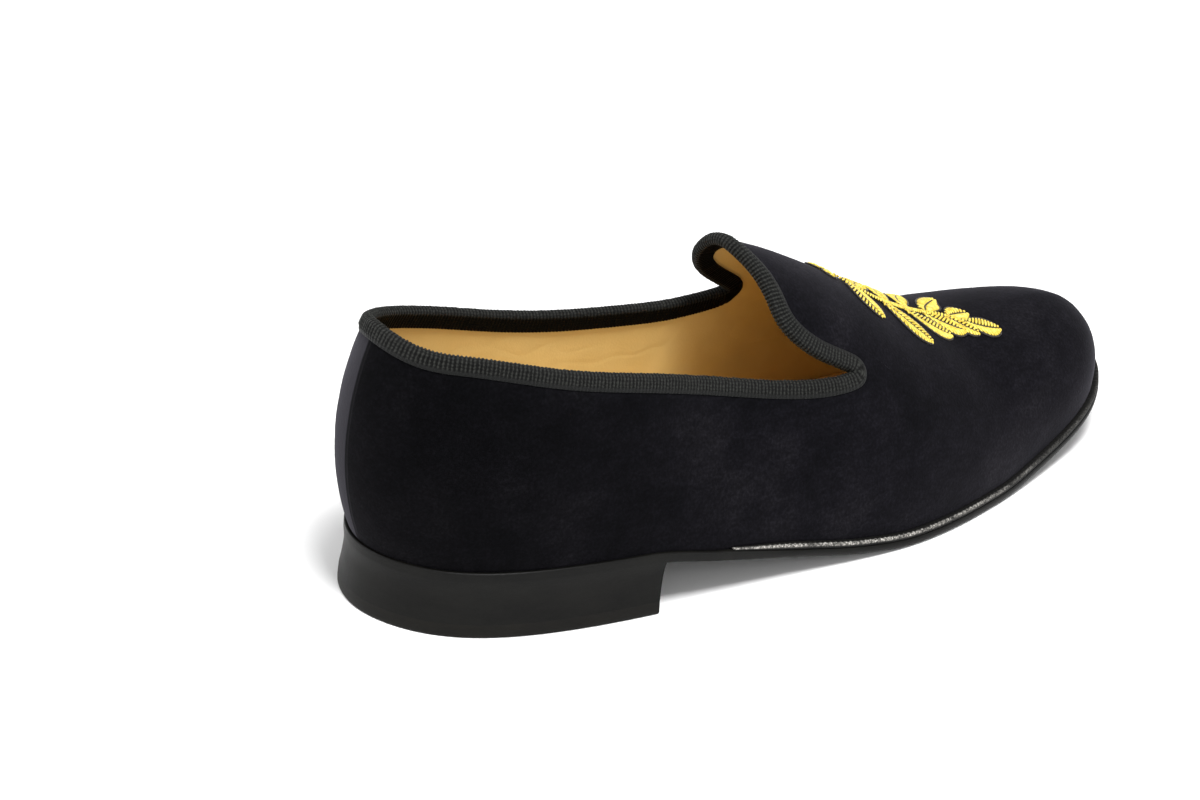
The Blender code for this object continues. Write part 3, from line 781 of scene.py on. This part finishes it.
# Wheeled welt: inset in mm (none where the upper hides it), share of its height, share of the marks
WELT_PROFILE = [
    (0.30, 0.00, 0.0),
    (0.22, 0.35, 0.0),
    (0.30, 0.75, 0.2),
    (0.55, 1.00, 1.0),
    (1.30, 1.08, 1.0),
    (1.90, 1.00, 0.3),
    (2.40, 0.96, 0.0),
    (None, 0.96, 0.0),
    (None, 0.00, 0.0),
]
WHEEL_PITCH = 1.9 * MM
WHEEL_STEPS = 6
WHEEL_DEPTH = 0.28 * MM
WELT_RISE = 0.1 * MM
WELT_SWELL = 0.2 * MM


def welt_body(outline):
    """The welt as profile rings strung along the sole's edge: vertices, triangles and UVs."""
    long = np.flatnonzero(outline[:, 1] >= WELT_START_Y)
    place = np.concatenate([[0.0], np.cumsum(np.linalg.norm(np.diff(outline[long], axis=0), axis=1))])
    wheel_count = int(place[-1] / WHEEL_PITCH)
    along = np.linspace(0.0, place[-1], wheel_count * WHEEL_STEPS + 1)
    sample = np.interp(along, place, long)
    mark = 1.0 - (0.5 + 0.5 * np.cos(2.0 * math.pi * along / place[-1] * wheel_count)) ** 2
    hidden = margin(outline[:, 1]) + WALL
    rails = []
    for inset, share, wheel in WELT_PROFILE:
        offset = -hidden if inset is None else -np.minimum(inset * MM, hidden - 0.3 * MM)
        curve = plan_offset(outline, offset)
        x, y = (np.interp(sample, np.arange(len(curve)), curve[:, i]) for i in range(2))
        dent = wheel * mark * WHEEL_DEPTH * smooth_step(WELT_START_Y, WELT_FULL_Y, y)
        z = sole_top(y) + WELT_RISE + share * (welt_height(y) + WELT_SWELL) - dent
        rails.append(np.column_stack([x, y, z]))
    size = len(rails)
    vertices = np.array(rails).transpose(1, 0, 2).reshape(-1, 3)
    faces = ring_faces(len(sample), size, False).tolist()
    faces.append(tuple(range(size)))
    faces.append(tuple(len(vertices) - size + k for k in range(size))[::-1])
    return vertices, triangles(vertices, faces), pairs(sample, np.arange(size))


# Sock over the insole: inset from its edge and drop from its top in mm, none on the sole
SOCK_PROFILE = [
    (0.0, None),
    (0.0, 1.4),
    (0.25, 0.6),
    (0.9, 0.12),
    (2.0, 0.0),
]


def sock_loop(line, inset, drop):
    def height(y):
        return sole_top(y) + GAP if drop is None else foot_height(y) + INSOLE_THICK - drop * MM

    return loop_at(line, -(WALL + INSOLE_GAP + inset * MM), height, SOLE_STATIONS)


# Embroidery: a spray of leaves on the vamp, in millimetres from the middle of the motif
MOTIF_CENTRE = (-1.0 * MM, 197.0 * MM)
MOTIF_TURN = -9.0
STEM_LENGTH = 46.0
STEM_SWAY = 2.6
STEM_HALF_WIDTH = 0.95
STEM_SLANT = 55.0
LEAF_SLANT = 58.0
LEAF_BEND = 12.0
MIDRIB_SHARE = 0.93
RING_POINTS = 16

# Leaves: where they leave the stem (mm along it), side, angle from the stem in degrees, length, width
LEAVES = [
    (3.0, 1, 70.0, 12.5, 9.0),
    (6.0, -1, 72.0, 13.0, 8.8),
    (13.5, 1, 62.0, 14.0, 9.4),
    (16.5, -1, 64.0, 14.0, 9.0),
    (23.5, 1, 54.0, 13.5, 9.0),
    (26.5, -1, 56.0, 13.0, 8.4),
    (32.5, 1, 46.0, 11.5, 7.6),
    (35.0, -1, 48.0, 11.0, 7.2),
    (39.5, 1, 36.0, 9.0, 5.8),
    (41.0, -1, 38.0, 8.5, 5.4),
    (44.5, 1, 2.0, 11.0, 6.4),
]

# Berries: place along the stem, distance to its side, radius
BERRIES = [
    (-2.6, 3.2, 1.7),
    (-2.6, -3.2, 1.7),
    (-5.8, 0.0, 1.9),
]

# Threads: spacing in mm, radii, and how high a stitch stands in mm: its ends, then its middle's rise
THREAD_GAP = 0.86
THREAD_RADIUS = 0.43 * MM
OUTLINE_RADIUS = 0.36 * MM
THREAD_SIDES = 6
THREAD_POINTS = np.linspace(0.0, 1.0, 6)
STITCH_LOW = 0.12
LEAF_RISE = 0.55
STEM_RISE = 0.6
BERRY_RISE = 0.75
OUTLINE_HEIGHT = 0.40


def stem_point(s):
    """A point on the stem in motif millimetres, s along it."""
    return np.array([STEM_SWAY * math.sin(2.0 * math.pi * s / STEM_LENGTH), s - 0.5 * STEM_LENGTH])


def stem_heading(s):
    ahead = stem_point(s + 0.5) - stem_point(s - 0.5)
    return ahead / np.linalg.norm(ahead)


def turned(vector, degrees):
    c, s = math.cos(math.radians(degrees)), math.sin(math.radians(degrees))
    return np.array([c * vector[0] - s * vector[1], s * vector[0] + c * vector[1]])


def leaf(s, side, angle, length, width):
    """Stitches of a leaf from its midrib to its margins, and its dark margins and midrib."""
    base = stem_point(s)
    heading = turned(stem_heading(s), -side * angle)
    count = int(length / THREAD_GAP)

    def spine(t):
        return base + turned(heading, LEAF_BEND * side * t) * length * t

    stitches, lines = [], []
    for half in (1, -1):
        edge = []
        for t in (i / count for i in range(count + 1)):
            ahead = spine(min(t + 0.02, 1.0)) - spine(max(t - 0.02, 0.0))
            slant = turned(ahead / np.linalg.norm(ahead), half * LEAF_SLANT)
            wide = 0.5 * width * math.sin(math.pi * max(t, 1e-6) ** 0.8) ** 0.85
            edge.append(spine(t) + slant * wide)
            if wide > 0.5:
                stitches.append((spine(t) + slant * 0.18, edge[-1], LEAF_RISE))
        lines.append(edge[1:-1])
    lines.append([spine(t) for t in np.linspace(0.0, MIDRIB_SHARE, 18)])
    return stitches, lines


def stem():
    """Slanting stitches all along the stem."""
    stitches = []
    for i in range(int(STEM_LENGTH / THREAD_GAP)):
        here = stem_point(i * THREAD_GAP)
        reach = turned(stem_heading(i * THREAD_GAP), STEM_SLANT) * STEM_HALF_WIDTH
        stitches.append((here - reach, here + reach, STEM_RISE))
    return stitches


def berry(s, aside, radius):
    """Stitches of a berry along the stem's direction, its dark ring and its stalk."""
    ahead = stem_heading(s)
    across = turned(ahead, -90.0)
    middle = stem_point(s) + across * aside
    count = int(2.0 * radius / THREAD_GAP)
    stitches = []
    for i in range(count + 1):
        offset = (i / count - 0.5) * 2.0 * radius * 0.96
        reach = math.sqrt(max(radius ** 2 - offset ** 2, 0.02))
        row = middle - across * offset
        stitches.append((row - ahead * reach, row + ahead * reach, BERRY_RISE))
    ring = [middle + radius * 1.12 * np.array([math.cos(a), math.sin(a)])
            for a in np.linspace(0.0, 2.0 * math.pi, RING_POINTS)]
    stalk = [stem_point(s - 1.5), middle - across * radius * math.copysign(1.0, aside)]
    return stitches, [ring, stalk]


def tubes(last, name, paths, radius, heights):
    """Threads as closed tubes that follow the vamp, each path in motif millimetres."""
    spread = np.array([turned(p, MOTIF_TURN) for path in paths for p in path]) * MM + np.array(MOTIF_CENTRE)
    away = last.normal(spread)
    centre = last.point(spread) + away * np.concatenate(heights)[:, None] * MM
    angles = np.arange(THREAD_SIDES) * 2.0 * math.pi / THREAD_SIDES
    cos, sin = np.cos(angles)[None, :, None], np.sin(angles)[None, :, None]
    vertices, faces = [], []
    first = 0
    for count in (len(path) for path in paths):
        c, n = centre[first:first + count], away[first:first + count]
        ahead = unit(np.gradient(c, axis=0))
        aside = unit(np.cross(ahead, n))[:, None]
        top = np.cross(aside[:, 0], ahead)[:, None]
        taper = np.ones((count, 1, 1))
        taper[0] = taper[-1] = 0.55
        vertices.extend(c[:, None] + radius * taper * (cos * aside + 0.8 * sin * top))
        base = first * THREAD_SIDES
        end = base + (count - 1) * THREAD_SIDES
        faces += (base + ring_faces(count, THREAD_SIDES, False)).tolist()
        faces.append(tuple(base + k for k in range(THREAD_SIDES)))
        faces.append(tuple(end + k for k in range(THREAD_SIDES))[::-1])
        first += count
    return mesh_piece(name, np.vstack(vertices), faces)


def embroidery(last):
    """The motif's gold stitches and its dark outline, as two pieces."""
    stitches, lines = [], []
    for row in LEAVES:
        leaf_stitches, leaf_lines = leaf(*row)
        stitches += leaf_stitches
        lines += leaf_lines
    stitches += stem()
    for row in BERRIES:
        berry_stitches, berry_lines = berry(*row)
        stitches += berry_stitches
        lines += berry_lines
    paths = [[a * (1.0 - t) + b * t for t in THREAD_POINTS] for a, b, _ in stitches]
    arch = np.sin(math.pi * (0.12 + 0.8 * THREAD_POINTS))
    heights = [STITCH_LOW + rise * arch for _, _, rise in stitches]
    gold = tubes(last, "embroidery_gold", paths, THREAD_RADIUS, heights)
    heights = [np.full(len(line), OUTLINE_HEIGHT) for line in lines]
    return gold, tubes(last, "embroidery_outline", lines, OUTLINE_RADIUS, heights)


# Visible pieces
last = Last()
outline = sole_outline()
velvet_spread = upper_grid(last, VELVET_COLUMNS, VELVET_ROWS)
rings = velvet_rings(last, velvet_spread)
velvet = ring_piece("velvet_upper", rings)
lining = ring_piece("leather_lining", lining_rings(last, upper_grid(last, LINING_COLUMNS, LINING_ROWS)))

ribbon_edge, at, loop_length, rib_count = ribbed_edge(last, rings[0], velvet_spread[0])
rings = ribbon_rings(last, ribbon_edge, 2.0 * math.pi * at / loop_length * rib_count, rib_count)
steps = np.linalg.norm(np.diff(rings, axis=0), axis=2).mean(axis=1)
across_ribbon = np.concatenate([[0.0], np.cumsum(steps)]) / MM
inside_starts = float(across_ribbon[len(RIBBON_ROWS) + len(FOLD_ANGLES) - 1])
ribbon = ring_piece("ribbon_binding", rings, pairs(across_ribbon, at / MM)[:, ::-1])

sole = plate_piece("sole_edge", [sole_loop(outline, *row) for row in SOLE_PROFILE])
heel_shares = np.linspace(0.0, 1.0, HEEL_STEPS)
heel_body = plate_piece("heel_lifts", [heel_loop(outline, share) for share in heel_shares])
top_piece = plate_piece("heel_rubber", [top_piece_loop(outline, *row) for row in TOP_PIECE_SIDE])
welt = mesh_piece("wheeled_welt", *welt_body(outline))
feather_line = last.foot[:, :2]
sock = plate_piece("leather_sock", [sock_loop(feather_line, *row) for row in SOCK_PROFILE])
gold, dark = embroidery(last)


# Materials
SEAM_X = -float(ORIGIN[0])
SEAM_Y = -float(ORIGIN[1])
WHITE = (1.0, 1.0, 1.0)


def material(name, colour, roughness, **sockets):
    made = bpy.data.materials.new(name)
    made.use_nodes = True
    shader = made.node_tree.nodes["Principled BSDF"]
    shader.inputs["Base Color"].default_value = (*colour, 1.0)
    shader.inputs["Roughness"].default_value = roughness
    for key, value in sockets.items():
        shader.inputs[key.replace("_", " ")].default_value = value
    return made, made.node_tree, shader


def place_of(tree, scale=WHITE, source="Object"):
    coordinate = tree.nodes.new("ShaderNodeTexCoord")
    mapping = tree.nodes.new("ShaderNodeMapping")
    mapping.inputs["Scale"].default_value = scale
    tree.links.new(coordinate.outputs[source], mapping.inputs["Vector"])
    return mapping.outputs["Vector"]


def parts_of(tree, vector):
    """The vector's X and Y as sockets."""
    split = tree.nodes.new("ShaderNodeSeparateXYZ")
    tree.links.new(vector, split.inputs["Vector"])
    return split.outputs["X"], split.outputs["Y"]


def noise(tree, vector, scale, detail=3.0, roughness=0.55):
    made = tree.nodes.new("ShaderNodeTexNoise")
    for key, value in (("Scale", scale), ("Detail", detail), ("Roughness", roughness)):
        made.inputs[key].default_value = value
    tree.links.new(vector, made.inputs["Vector"])
    return made.outputs["Fac"]


def ramp(tree, factor, stops):
    made = tree.nodes.new("ShaderNodeValToRGB")
    band = made.color_ramp
    while len(band.elements) < len(stops):
        band.elements.new(0.5)
    for element, (position, colour) in zip(band.elements, stops):
        element.position = position
        element.color = (*colour, 1.0)
    tree.links.new(factor, made.inputs["Fac"])
    return made.outputs["Color"]


def feed(tree, socket, value):
    """Link the value to the socket where it is one, or else set it there."""
    if isinstance(value, bpy.types.NodeSocket):
        tree.links.new(value, socket)
    else:
        socket.default_value = value


def mix(tree, factor, a, b, how="MIX"):
    made = tree.nodes.new("ShaderNodeMix")
    made.data_type = "RGBA"
    made.blend_type = how
    feed(tree, made.inputs[0], factor)
    for value, key in ((a, 6), (b, 7)):
        feed(tree, made.inputs[key], (*value, 1.0) if isinstance(value, tuple) else value)
    return made.outputs[2]


def maths(tree, operation, a, b=0.0):
    made = tree.nodes.new("ShaderNodeMath")
    made.operation = operation
    feed(tree, made.inputs[0], a)
    feed(tree, made.inputs[1], b)
    return made.outputs[0]


def total(tree, *terms):
    """The sum of sockets, each given with its weight."""
    weighted = [maths(tree, "MULTIPLY", value, weight) for value, weight in terms]
    height = weighted[0]
    for more in weighted[1:]:
        height = maths(tree, "ADD", height, more)
    return height


def bump(tree, shader, height, strength, distance):
    made = tree.nodes.new("ShaderNodeBump")
    made.inputs["Strength"].default_value = strength
    made.inputs["Distance"].default_value = distance
    tree.links.new(height, made.inputs["Height"])
    tree.links.new(made.outputs["Normal"], shader.inputs["Normal"])


def ranged(tree, value, start, end):
    """A share from 0 where the value is at the start to 1 where it is at the end."""
    made = tree.nodes.new("ShaderNodeMapRange")
    made.inputs["From Min"].default_value = start
    made.inputs["From Max"].default_value = end
    tree.links.new(value, made.inputs["Value"])
    return made.outputs["Result"]


def spread_range(tree, value, low, high):
    """A share from 0 to 1 stretched between two values."""
    made = tree.nodes.new("ShaderNodeMapRange")
    made.inputs["To Min"].default_value = low
    made.inputs["To Max"].default_value = high
    tree.links.new(value, made.inputs["Value"])
    return made.outputs["Result"]


VELVET_TONES = [
    (0.32, (0.0014, 0.0014, 0.0022)),
    (0.52, (0.0036, 0.0034, 0.0049)),
    (0.70, (0.0066, 0.0062, 0.0080)),
]
NAP_TONES = [
    (0.36, (0.78, 0.78, 0.80)),
    (0.52, WHITE),
    (0.68, (1.36, 1.36, 1.34)),
]
SPECK_TONES = [
    (0.38, (0.62, 0.62, 0.64)),
    (0.52, WHITE),
    (0.66, (1.65, 1.65, 1.60)),
]
# Painted sheen: lighter tone of the medial quarter near the back seam
PAINTED_SHEEN_TONE = (0.022, 0.021, 0.025)
SEAM_TONE = (0.0015, 0.0015, 0.0018)


def velvet_material():
    """Black velvet with the seam down the back, and painted shade darkening the rear of the lateral side.

    The two quarters meet in that seam; the medial one's nap lies the other way, and near the back it gets a
    painted sheen.
    """
    made, tree, shader = material("velvet", VELVET_TONES[1][1], 0.95, Specular_IOR_Level=0.05,
                                  Sheen_Roughness=0.42, Sheen_Tint=(0.80, 0.77, 0.90, 1.0))
    where = place_of(tree)
    nap = noise(tree, place_of(tree, (1.0, 0.6, 1.5)), 260.0, 4.0, 0.6)
    pile = noise(tree, where, 2600.0, 2.0)
    speckle = noise(tree, where, 1050.0, 3.0, 0.6)
    shade = ramp(tree, noise(tree, where, 42.0, 4.0), VELVET_TONES)
    shade = mix(tree, 1.0, shade, ramp(tree, nap, NAP_TONES), "MULTIPLY")
    shade = mix(tree, 1.0, shade, ramp(tree, speckle, SPECK_TONES), "MULTIPLY")

    across, along = parts_of(tree, where)
    # Painted sheen on the medial quarter near the back seam, and painted shade darkening the lateral side
    # toward the rear; the sheen weight follows the same masks
    medial = ranged(tree, across, SEAM_X + 0.5 * MM, SEAM_X - 0.9 * MM)
    rear = ranged(tree, along, SEAM_Y + 62.0 * MM, SEAM_Y + 6.0 * MM)
    fore = ranged(tree, along, SEAM_Y + 15.0 * MM, SEAM_Y + 150.0 * MM)
    lit = maths(tree, "MAXIMUM", fore, medial)
    tree.links.new(spread_range(tree, lit, 0.030, 0.078), shader.inputs["Sheen Weight"])
    painted_rear_shade = tree.nodes.new("ShaderNodeCombineColor")
    for channel in ("Red", "Green", "Blue"):
        tree.links.new(spread_range(tree, lit, 0.35, 1.0), painted_rear_shade.inputs[channel])
    shade = mix(tree, 1.0, shade, painted_rear_shade.outputs["Color"], "MULTIPLY")
    # Painted sheen: a lighter tone on the medial quarter near the back
    shade = mix(tree, maths(tree, "MULTIPLY", medial, rear), shade, PAINTED_SHEEN_TONE)

    apart = maths(tree, "ABSOLUTE", maths(tree, "SUBTRACT", across, SEAM_X))
    behind = ranged(tree, along, SEAM_Y + 22.0 * MM, SEAM_Y + 18.0 * MM)
    seam = maths(tree, "MULTIPLY", ranged(tree, apart, 0.9 * MM, 0.3 * MM), behind)
    tree.links.new(mix(tree, seam, shade, SEAM_TONE), shader.inputs["Base Color"])
    bump(tree, shader, total(tree, (nap, 0.7), (pile, 0.35), (speckle, 0.6), (seam, -1.2)), 0.35, 0.0004)
    return made


# Weave tones, whose ramp also paints highlight on the rib crests and shade in the gaps between them
WEAVE_AND_RIB_SHADE_TONES = [
    (0.26, (0.0008, 0.0008, 0.0007)),
    (0.50, (0.0046, 0.0048, 0.0044)),
    (0.84, (0.0250, 0.0260, 0.0232)),
]
SELVEDGE_TONE = (0.0075, 0.0077, 0.0074)
# Painted shade tone of the ribbon's half that lines the mouth
PAINTED_MOUTH_SHADE = (0.0016, 0.0015, 0.0012)
SELVEDGE_FADE = (1.5, 1.1)


def ribbon_material(ribs_per_mm, mouth_starts):
    """Black ribbed ribbon; the half that lines the mouth is nearly black with less gloss, as painted shade.
    """
    made, tree, shader = material("ribbon", WEAVE_AND_RIB_SHADE_TONES[1][1], 0.60, Sheen_Roughness=0.45,
                                  Sheen_Tint=(0.85, 0.88, 0.86, 1.0))
    uv = place_of(tree, source="UV")
    lengthwise, crosswise = parts_of(tree, uv)
    wander = maths(tree, "SUBTRACT", noise(tree, uv, 0.55, 2.0), 0.5)
    rib_place = total(tree, (lengthwise, 1.0), (wander, 0.7))
    row_place = total(tree, (crosswise, 1.0), (wander, 1.6))
    ridge = maths(tree, "COSINE", maths(tree, "MULTIPLY", rib_place, 2.0 * math.pi * ribs_per_mm))
    row = maths(tree, "COSINE", maths(tree, "MULTIPLY", row_place, 2.0 * math.pi / ROW_PITCH))
    speck = noise(tree, uv, 1.9, 4.0, 0.7)
    # Painted highlight and shade: in the colour, rib crests come out lighter and gaps darker, over the
    # weave's random flecks
    weave_and_rib_shade = maths(tree, "ADD", total(tree, (ridge, 0.24), (row, 0.13), (speck, 0.95)), 0.02)
    selvedge = ranged(tree, crosswise, *SELVEDGE_FADE)
    colour = mix(tree, selvedge, ramp(tree, weave_and_rib_shade, WEAVE_AND_RIB_SHADE_TONES), SELVEDGE_TONE)
    # Painted shade: the half lining the mouth is made nearly black, with less specular and no sheen
    inside = ranged(tree, crosswise, mouth_starts - 0.1, mouth_starts + 1.0)
    tree.links.new(mix(tree, inside, colour, PAINTED_MOUTH_SHADE), shader.inputs["Base Color"])
    tree.links.new(spread_range(tree, inside, 0.12, 0.05), shader.inputs["Specular IOR Level"])
    tree.links.new(spread_range(tree, inside, 0.03, 0.0), shader.inputs["Sheen Weight"])
    bump(tree, shader, weave_and_rib_shade, 0.8, 0.0003)
    return made


LINING_TONES = [(0.30, (0.65, 0.45, 0.155)), (0.70, (0.75, 0.55, 0.215))]
SOCK_TONES = [(0.30, (0.66, 0.43, 0.16)), (0.70, (0.76, 0.53, 0.22))]


def leather_material(name, tones, roughness, grain):
    """Tan leather with a fine grain, soft wrinkles and a few shallow creases."""
    made, tree, shader = material(name, tones[0][1], roughness, Specular_IOR_Level=0.4)
    where = place_of(tree)
    tree.links.new(ramp(tree, noise(tree, where, 26.0, 4.0), tones), shader.inputs["Base Color"])
    cells = tree.nodes.new("ShaderNodeTexVoronoi")
    cells.inputs["Scale"].default_value = 1500.0
    tree.links.new(where, cells.inputs["Vector"])
    wrinkle = noise(tree, place_of(tree, (1.0, 0.4, 1.0)), 160.0, 5.0)
    fold = noise(tree, place_of(tree, (1.0, 0.55, 1.3)), 42.0, 2.0)
    crease = ranged(tree, maths(tree, "ABSOLUTE", maths(tree, "SUBTRACT", fold, 0.5)), 0.05, 0.0)
    height = total(tree, (cells.outputs["Distance"], 0.35), (wrinkle, 1.0), (crease, -0.6))
    bump(tree, shader, height, grain, 0.0006)
    uneven = spread_range(tree, wrinkle, roughness - 0.08, roughness + 0.10)
    tree.links.new(uneven, shader.inputs["Roughness"])
    return made


WAX_TONES = [(0.35, (0.0030, 0.0030, 0.0027)), (0.7, (0.0062, 0.0061, 0.0053))]
RUBBER_TONES = [(0.35, (0.0034, 0.0032, 0.0027)), (0.7, (0.0075, 0.0068, 0.0052))]


def edge_material(name, tones, roughness):
    """Waxed sole and heel edges: satin black with a brown cast and soft smears."""
    made, tree, shader = material(name, tones[0][1], roughness, Specular_IOR_Level=0.11)
    smear = noise(tree, place_of(tree, (1.0, 1.0, 3.0)), 45.0, 5.0)
    grain = noise(tree, place_of(tree, (1.0, 1.0, 5.0)), 900.0, 3.0)
    tree.links.new(ramp(tree, smear, tones), shader.inputs["Base Color"])
    uneven = spread_range(tree, smear, roughness - 0.08, roughness + 0.14)
    tree.links.new(uneven, shader.inputs["Roughness"])
    bump(tree, shader, grain, 0.25, 0.00025)
    return made


# Painted highlight tones for the wheeled rim
PAINTED_HIGHLIGHT_TONES = [
    (0.38, (0.020, 0.019, 0.017)),
    (0.50, (0.17, 0.163, 0.150)),
    (0.62, (0.58, 0.56, 0.52)),
]
BLACK_WAX = (0.0050, 0.0049, 0.0045)


def welt_material():
    """Black wax with a painted highlight: a silvery grain along the wheeled rim from the waist to the joint.
    """
    made, tree, shader = material("wheeled_edge", (0.01, 0.01, 0.009), 0.55, Specular_IOR_Level=0.15)
    where = place_of(tree)
    grit = noise(tree, where, 1500.0, 4.0, 0.7)
    patch = noise(tree, where, 150.0, 3.0)
    _, profile_row = parts_of(tree, place_of(tree, source="UV"))
    # Painted highlight: silvery grain on the wheeled rim, full to the joint and fading toward the toe
    rim = maths(tree, "MULTIPLY", ranged(tree, profile_row, 0.9, 1.7), ranged(tree, profile_row, 3.7, 3.0))
    _, along = parts_of(tree, where)
    highlight_fade = spread_range(tree, ranged(tree, along, SEAM_Y + 240.0 * MM, SEAM_Y + 175.0 * MM), 0.12, 1.0)
    share = maths(tree, "MULTIPLY", maths(tree, "MULTIPLY", rim, highlight_fade), ranged(tree, patch, 0.25, 0.50))
    painted_highlight = ramp(tree, grit, PAINTED_HIGHLIGHT_TONES)
    tree.links.new(mix(tree, share, BLACK_WAX, painted_highlight), shader.inputs["Base Color"])
    bump(tree, shader, grit, 0.6, 0.0003)
    return made


GOLD_TONES = [
    (0.30, (0.52, 0.36, 0.030)),
    (0.50, (0.74, 0.56, 0.060)),
    (0.70, (0.86, 0.72, 0.14)),
]
DARK_TONES = [(0.3, (0.012, 0.009, 0.006)), (0.7, (0.035, 0.026, 0.016))]


def thread_material(name, tones, roughness):
    made, tree, shader = material(name, tones[0][1], roughness, Sheen_Weight=0.2, Sheen_Roughness=0.3,
                                  Specular_IOR_Level=0.5)
    where = place_of(tree)
    tree.links.new(ramp(tree, noise(tree, where, 700.0, 2.0), tones), shader.inputs["Base Color"])
    bump(tree, shader, noise(tree, where, 5200.0, 2.0), 0.35, 0.0001)
    return made


lining_leather = leather_material("lining_leather", LINING_TONES, 0.50, 0.20)
sock_leather = leather_material("sock_leather", SOCK_TONES, 0.52, 0.18)
sole_wax = edge_material("sole_wax", WAX_TONES, 0.40)
heel_wax = edge_material("heel_wax", WAX_TONES, 0.40)
rubber = edge_material("top_piece_rubber", RUBBER_TONES, 0.44)
gold_thread = thread_material("gold_thread", GOLD_TONES, 0.38)
dark_thread = thread_material("dark_thread", DARK_TONES, 0.6)

# Each piece with its finish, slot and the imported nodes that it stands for
DRESS = [
    (velvet, velvet_material(), "upper_material", ("upper",)),
    (lining, lining_leather, "insole_material", ()),
    (ribbon, ribbon_material(rib_count * MM / loop_length, inside_starts), "binding_material", ("binding",)),
    (sole, sole_wax, "outsole_material", ("outsole",)),
    (heel_body, heel_wax, "heel_material", ("heel",)),
    (top_piece, rubber, "heel_top_piece_material", ("heel_top_piece",)),
    (welt, welt_material(), "welt_material", ("welt",)),
    (sock, sock_leather, "insole_material", ("insole",)),
    (gold, gold_thread, "upper_material", ()),
    (dark, dark_thread, "upper_material", ()),
]
for piece, finish, slot, stands_for in DRESS:
    piece.data.materials.append(finish)
    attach(piece, "root")
    if stands_for:
        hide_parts(*stands_for)

# Floor
FLOOR_HALF = 4.0
FLOOR_CORNERS = [(-1.0, -1.0), (1.0, -1.0), (1.0, 1.0), (-1.0, 1.0)]
floor_mesh = bpy.data.meshes.new("floor")
floor_mesh.from_pydata([(x * FLOOR_HALF, y * FLOOR_HALF, 0.0) for x, y in FLOOR_CORNERS], [], [(0, 1, 2, 3)])
floor = bpy.data.objects.new("floor", floor_mesh)
bpy.context.scene.collection.objects.link(floor)
floor_finish, _, _ = material("floor_paper", (0.93, 0.93, 0.93), 0.85, Specular_IOR_Level=0.1)
floor_mesh.materials.append(floor_finish)

# Light: name, position, size in metres, watts, all aimed at the shoe's middle
WORLD_STRENGTH = 0.62
LAMPS = [
    ("key", (0.43, -0.14, 1.22), (0.38, 0.38), 19.0),
    ("rear", (-0.60, -1.10, 0.60), (0.4, 0.5), 6.5),
    ("side", (1.20, -0.35, 0.70), (0.8, 0.6), 3.0),
]
LAMP_AIM = Vector((0.0, 0.0, 0.04))

world = bpy.data.worlds.new("studio")
world.use_nodes = True
background = world.node_tree.nodes["Background"]
background.inputs["Color"].default_value = (1.0, 1.0, 1.0, 1.0)
background.inputs["Strength"].default_value = WORLD_STRENGTH
bpy.context.scene.world = world

for name, position, size, power in LAMPS:
    lamp = bpy.data.lights.new(name, "AREA")
    lamp.shape = "RECTANGLE"
    lamp.size, lamp.size_y = size
    lamp.energy = power
    held = bpy.data.objects.new(name, lamp)
    held.location = position
    held.rotation_euler = (LAMP_AIM - Vector(position)).to_track_quat("-Z", "Y").to_euler()
    bpy.context.scene.collection.objects.link(held)

# Camera, fitted to the photograph: degrees, metres, lens in mm
CAMERA_AZIMUTH = 54.455
CAMERA_ELEVATION = 28.442
CAMERA_ROLL = 4.529
CAMERA_DISTANCE = 1.11476
CAMERA_LENS = 108.10
CAMERA_TARGET = (-0.01303, 0.09371, 0.04)

camera_data = bpy.data.cameras.new("camera")
camera_data.sensor_width = 36.0
camera_data.lens = CAMERA_LENS
camera_data.clip_start = 0.05
camera_data.clip_end = 50.0
camera = bpy.data.objects.new("camera", camera_data)
azimuth, elevation, roll = (math.radians(v) for v in (CAMERA_AZIMUTH, CAMERA_ELEVATION, CAMERA_ROLL))
level = math.cos(elevation)
back = Vector((math.sin(azimuth) * level, -math.cos(azimuth) * level, math.sin(elevation)))
right = Vector((math.cos(azimuth), math.sin(azimuth), 0.0))
up = back.cross(right)
rolled_right = right * math.cos(roll) + up * math.sin(roll)
rolled_up = up * math.cos(roll) - right * math.sin(roll)
eye = Vector(CAMERA_TARGET) - Vector(ORIGIN) + back * CAMERA_DISTANCE
camera.matrix_world = Matrix.Translation(eye) @ Matrix((rolled_right, rolled_up, back)).transposed().to_4x4()
bpy.context.scene.collection.objects.link(camera)
bpy.context.scene.camera = camera
bpy.context.scene.view_settings.view_transform = "Standard"
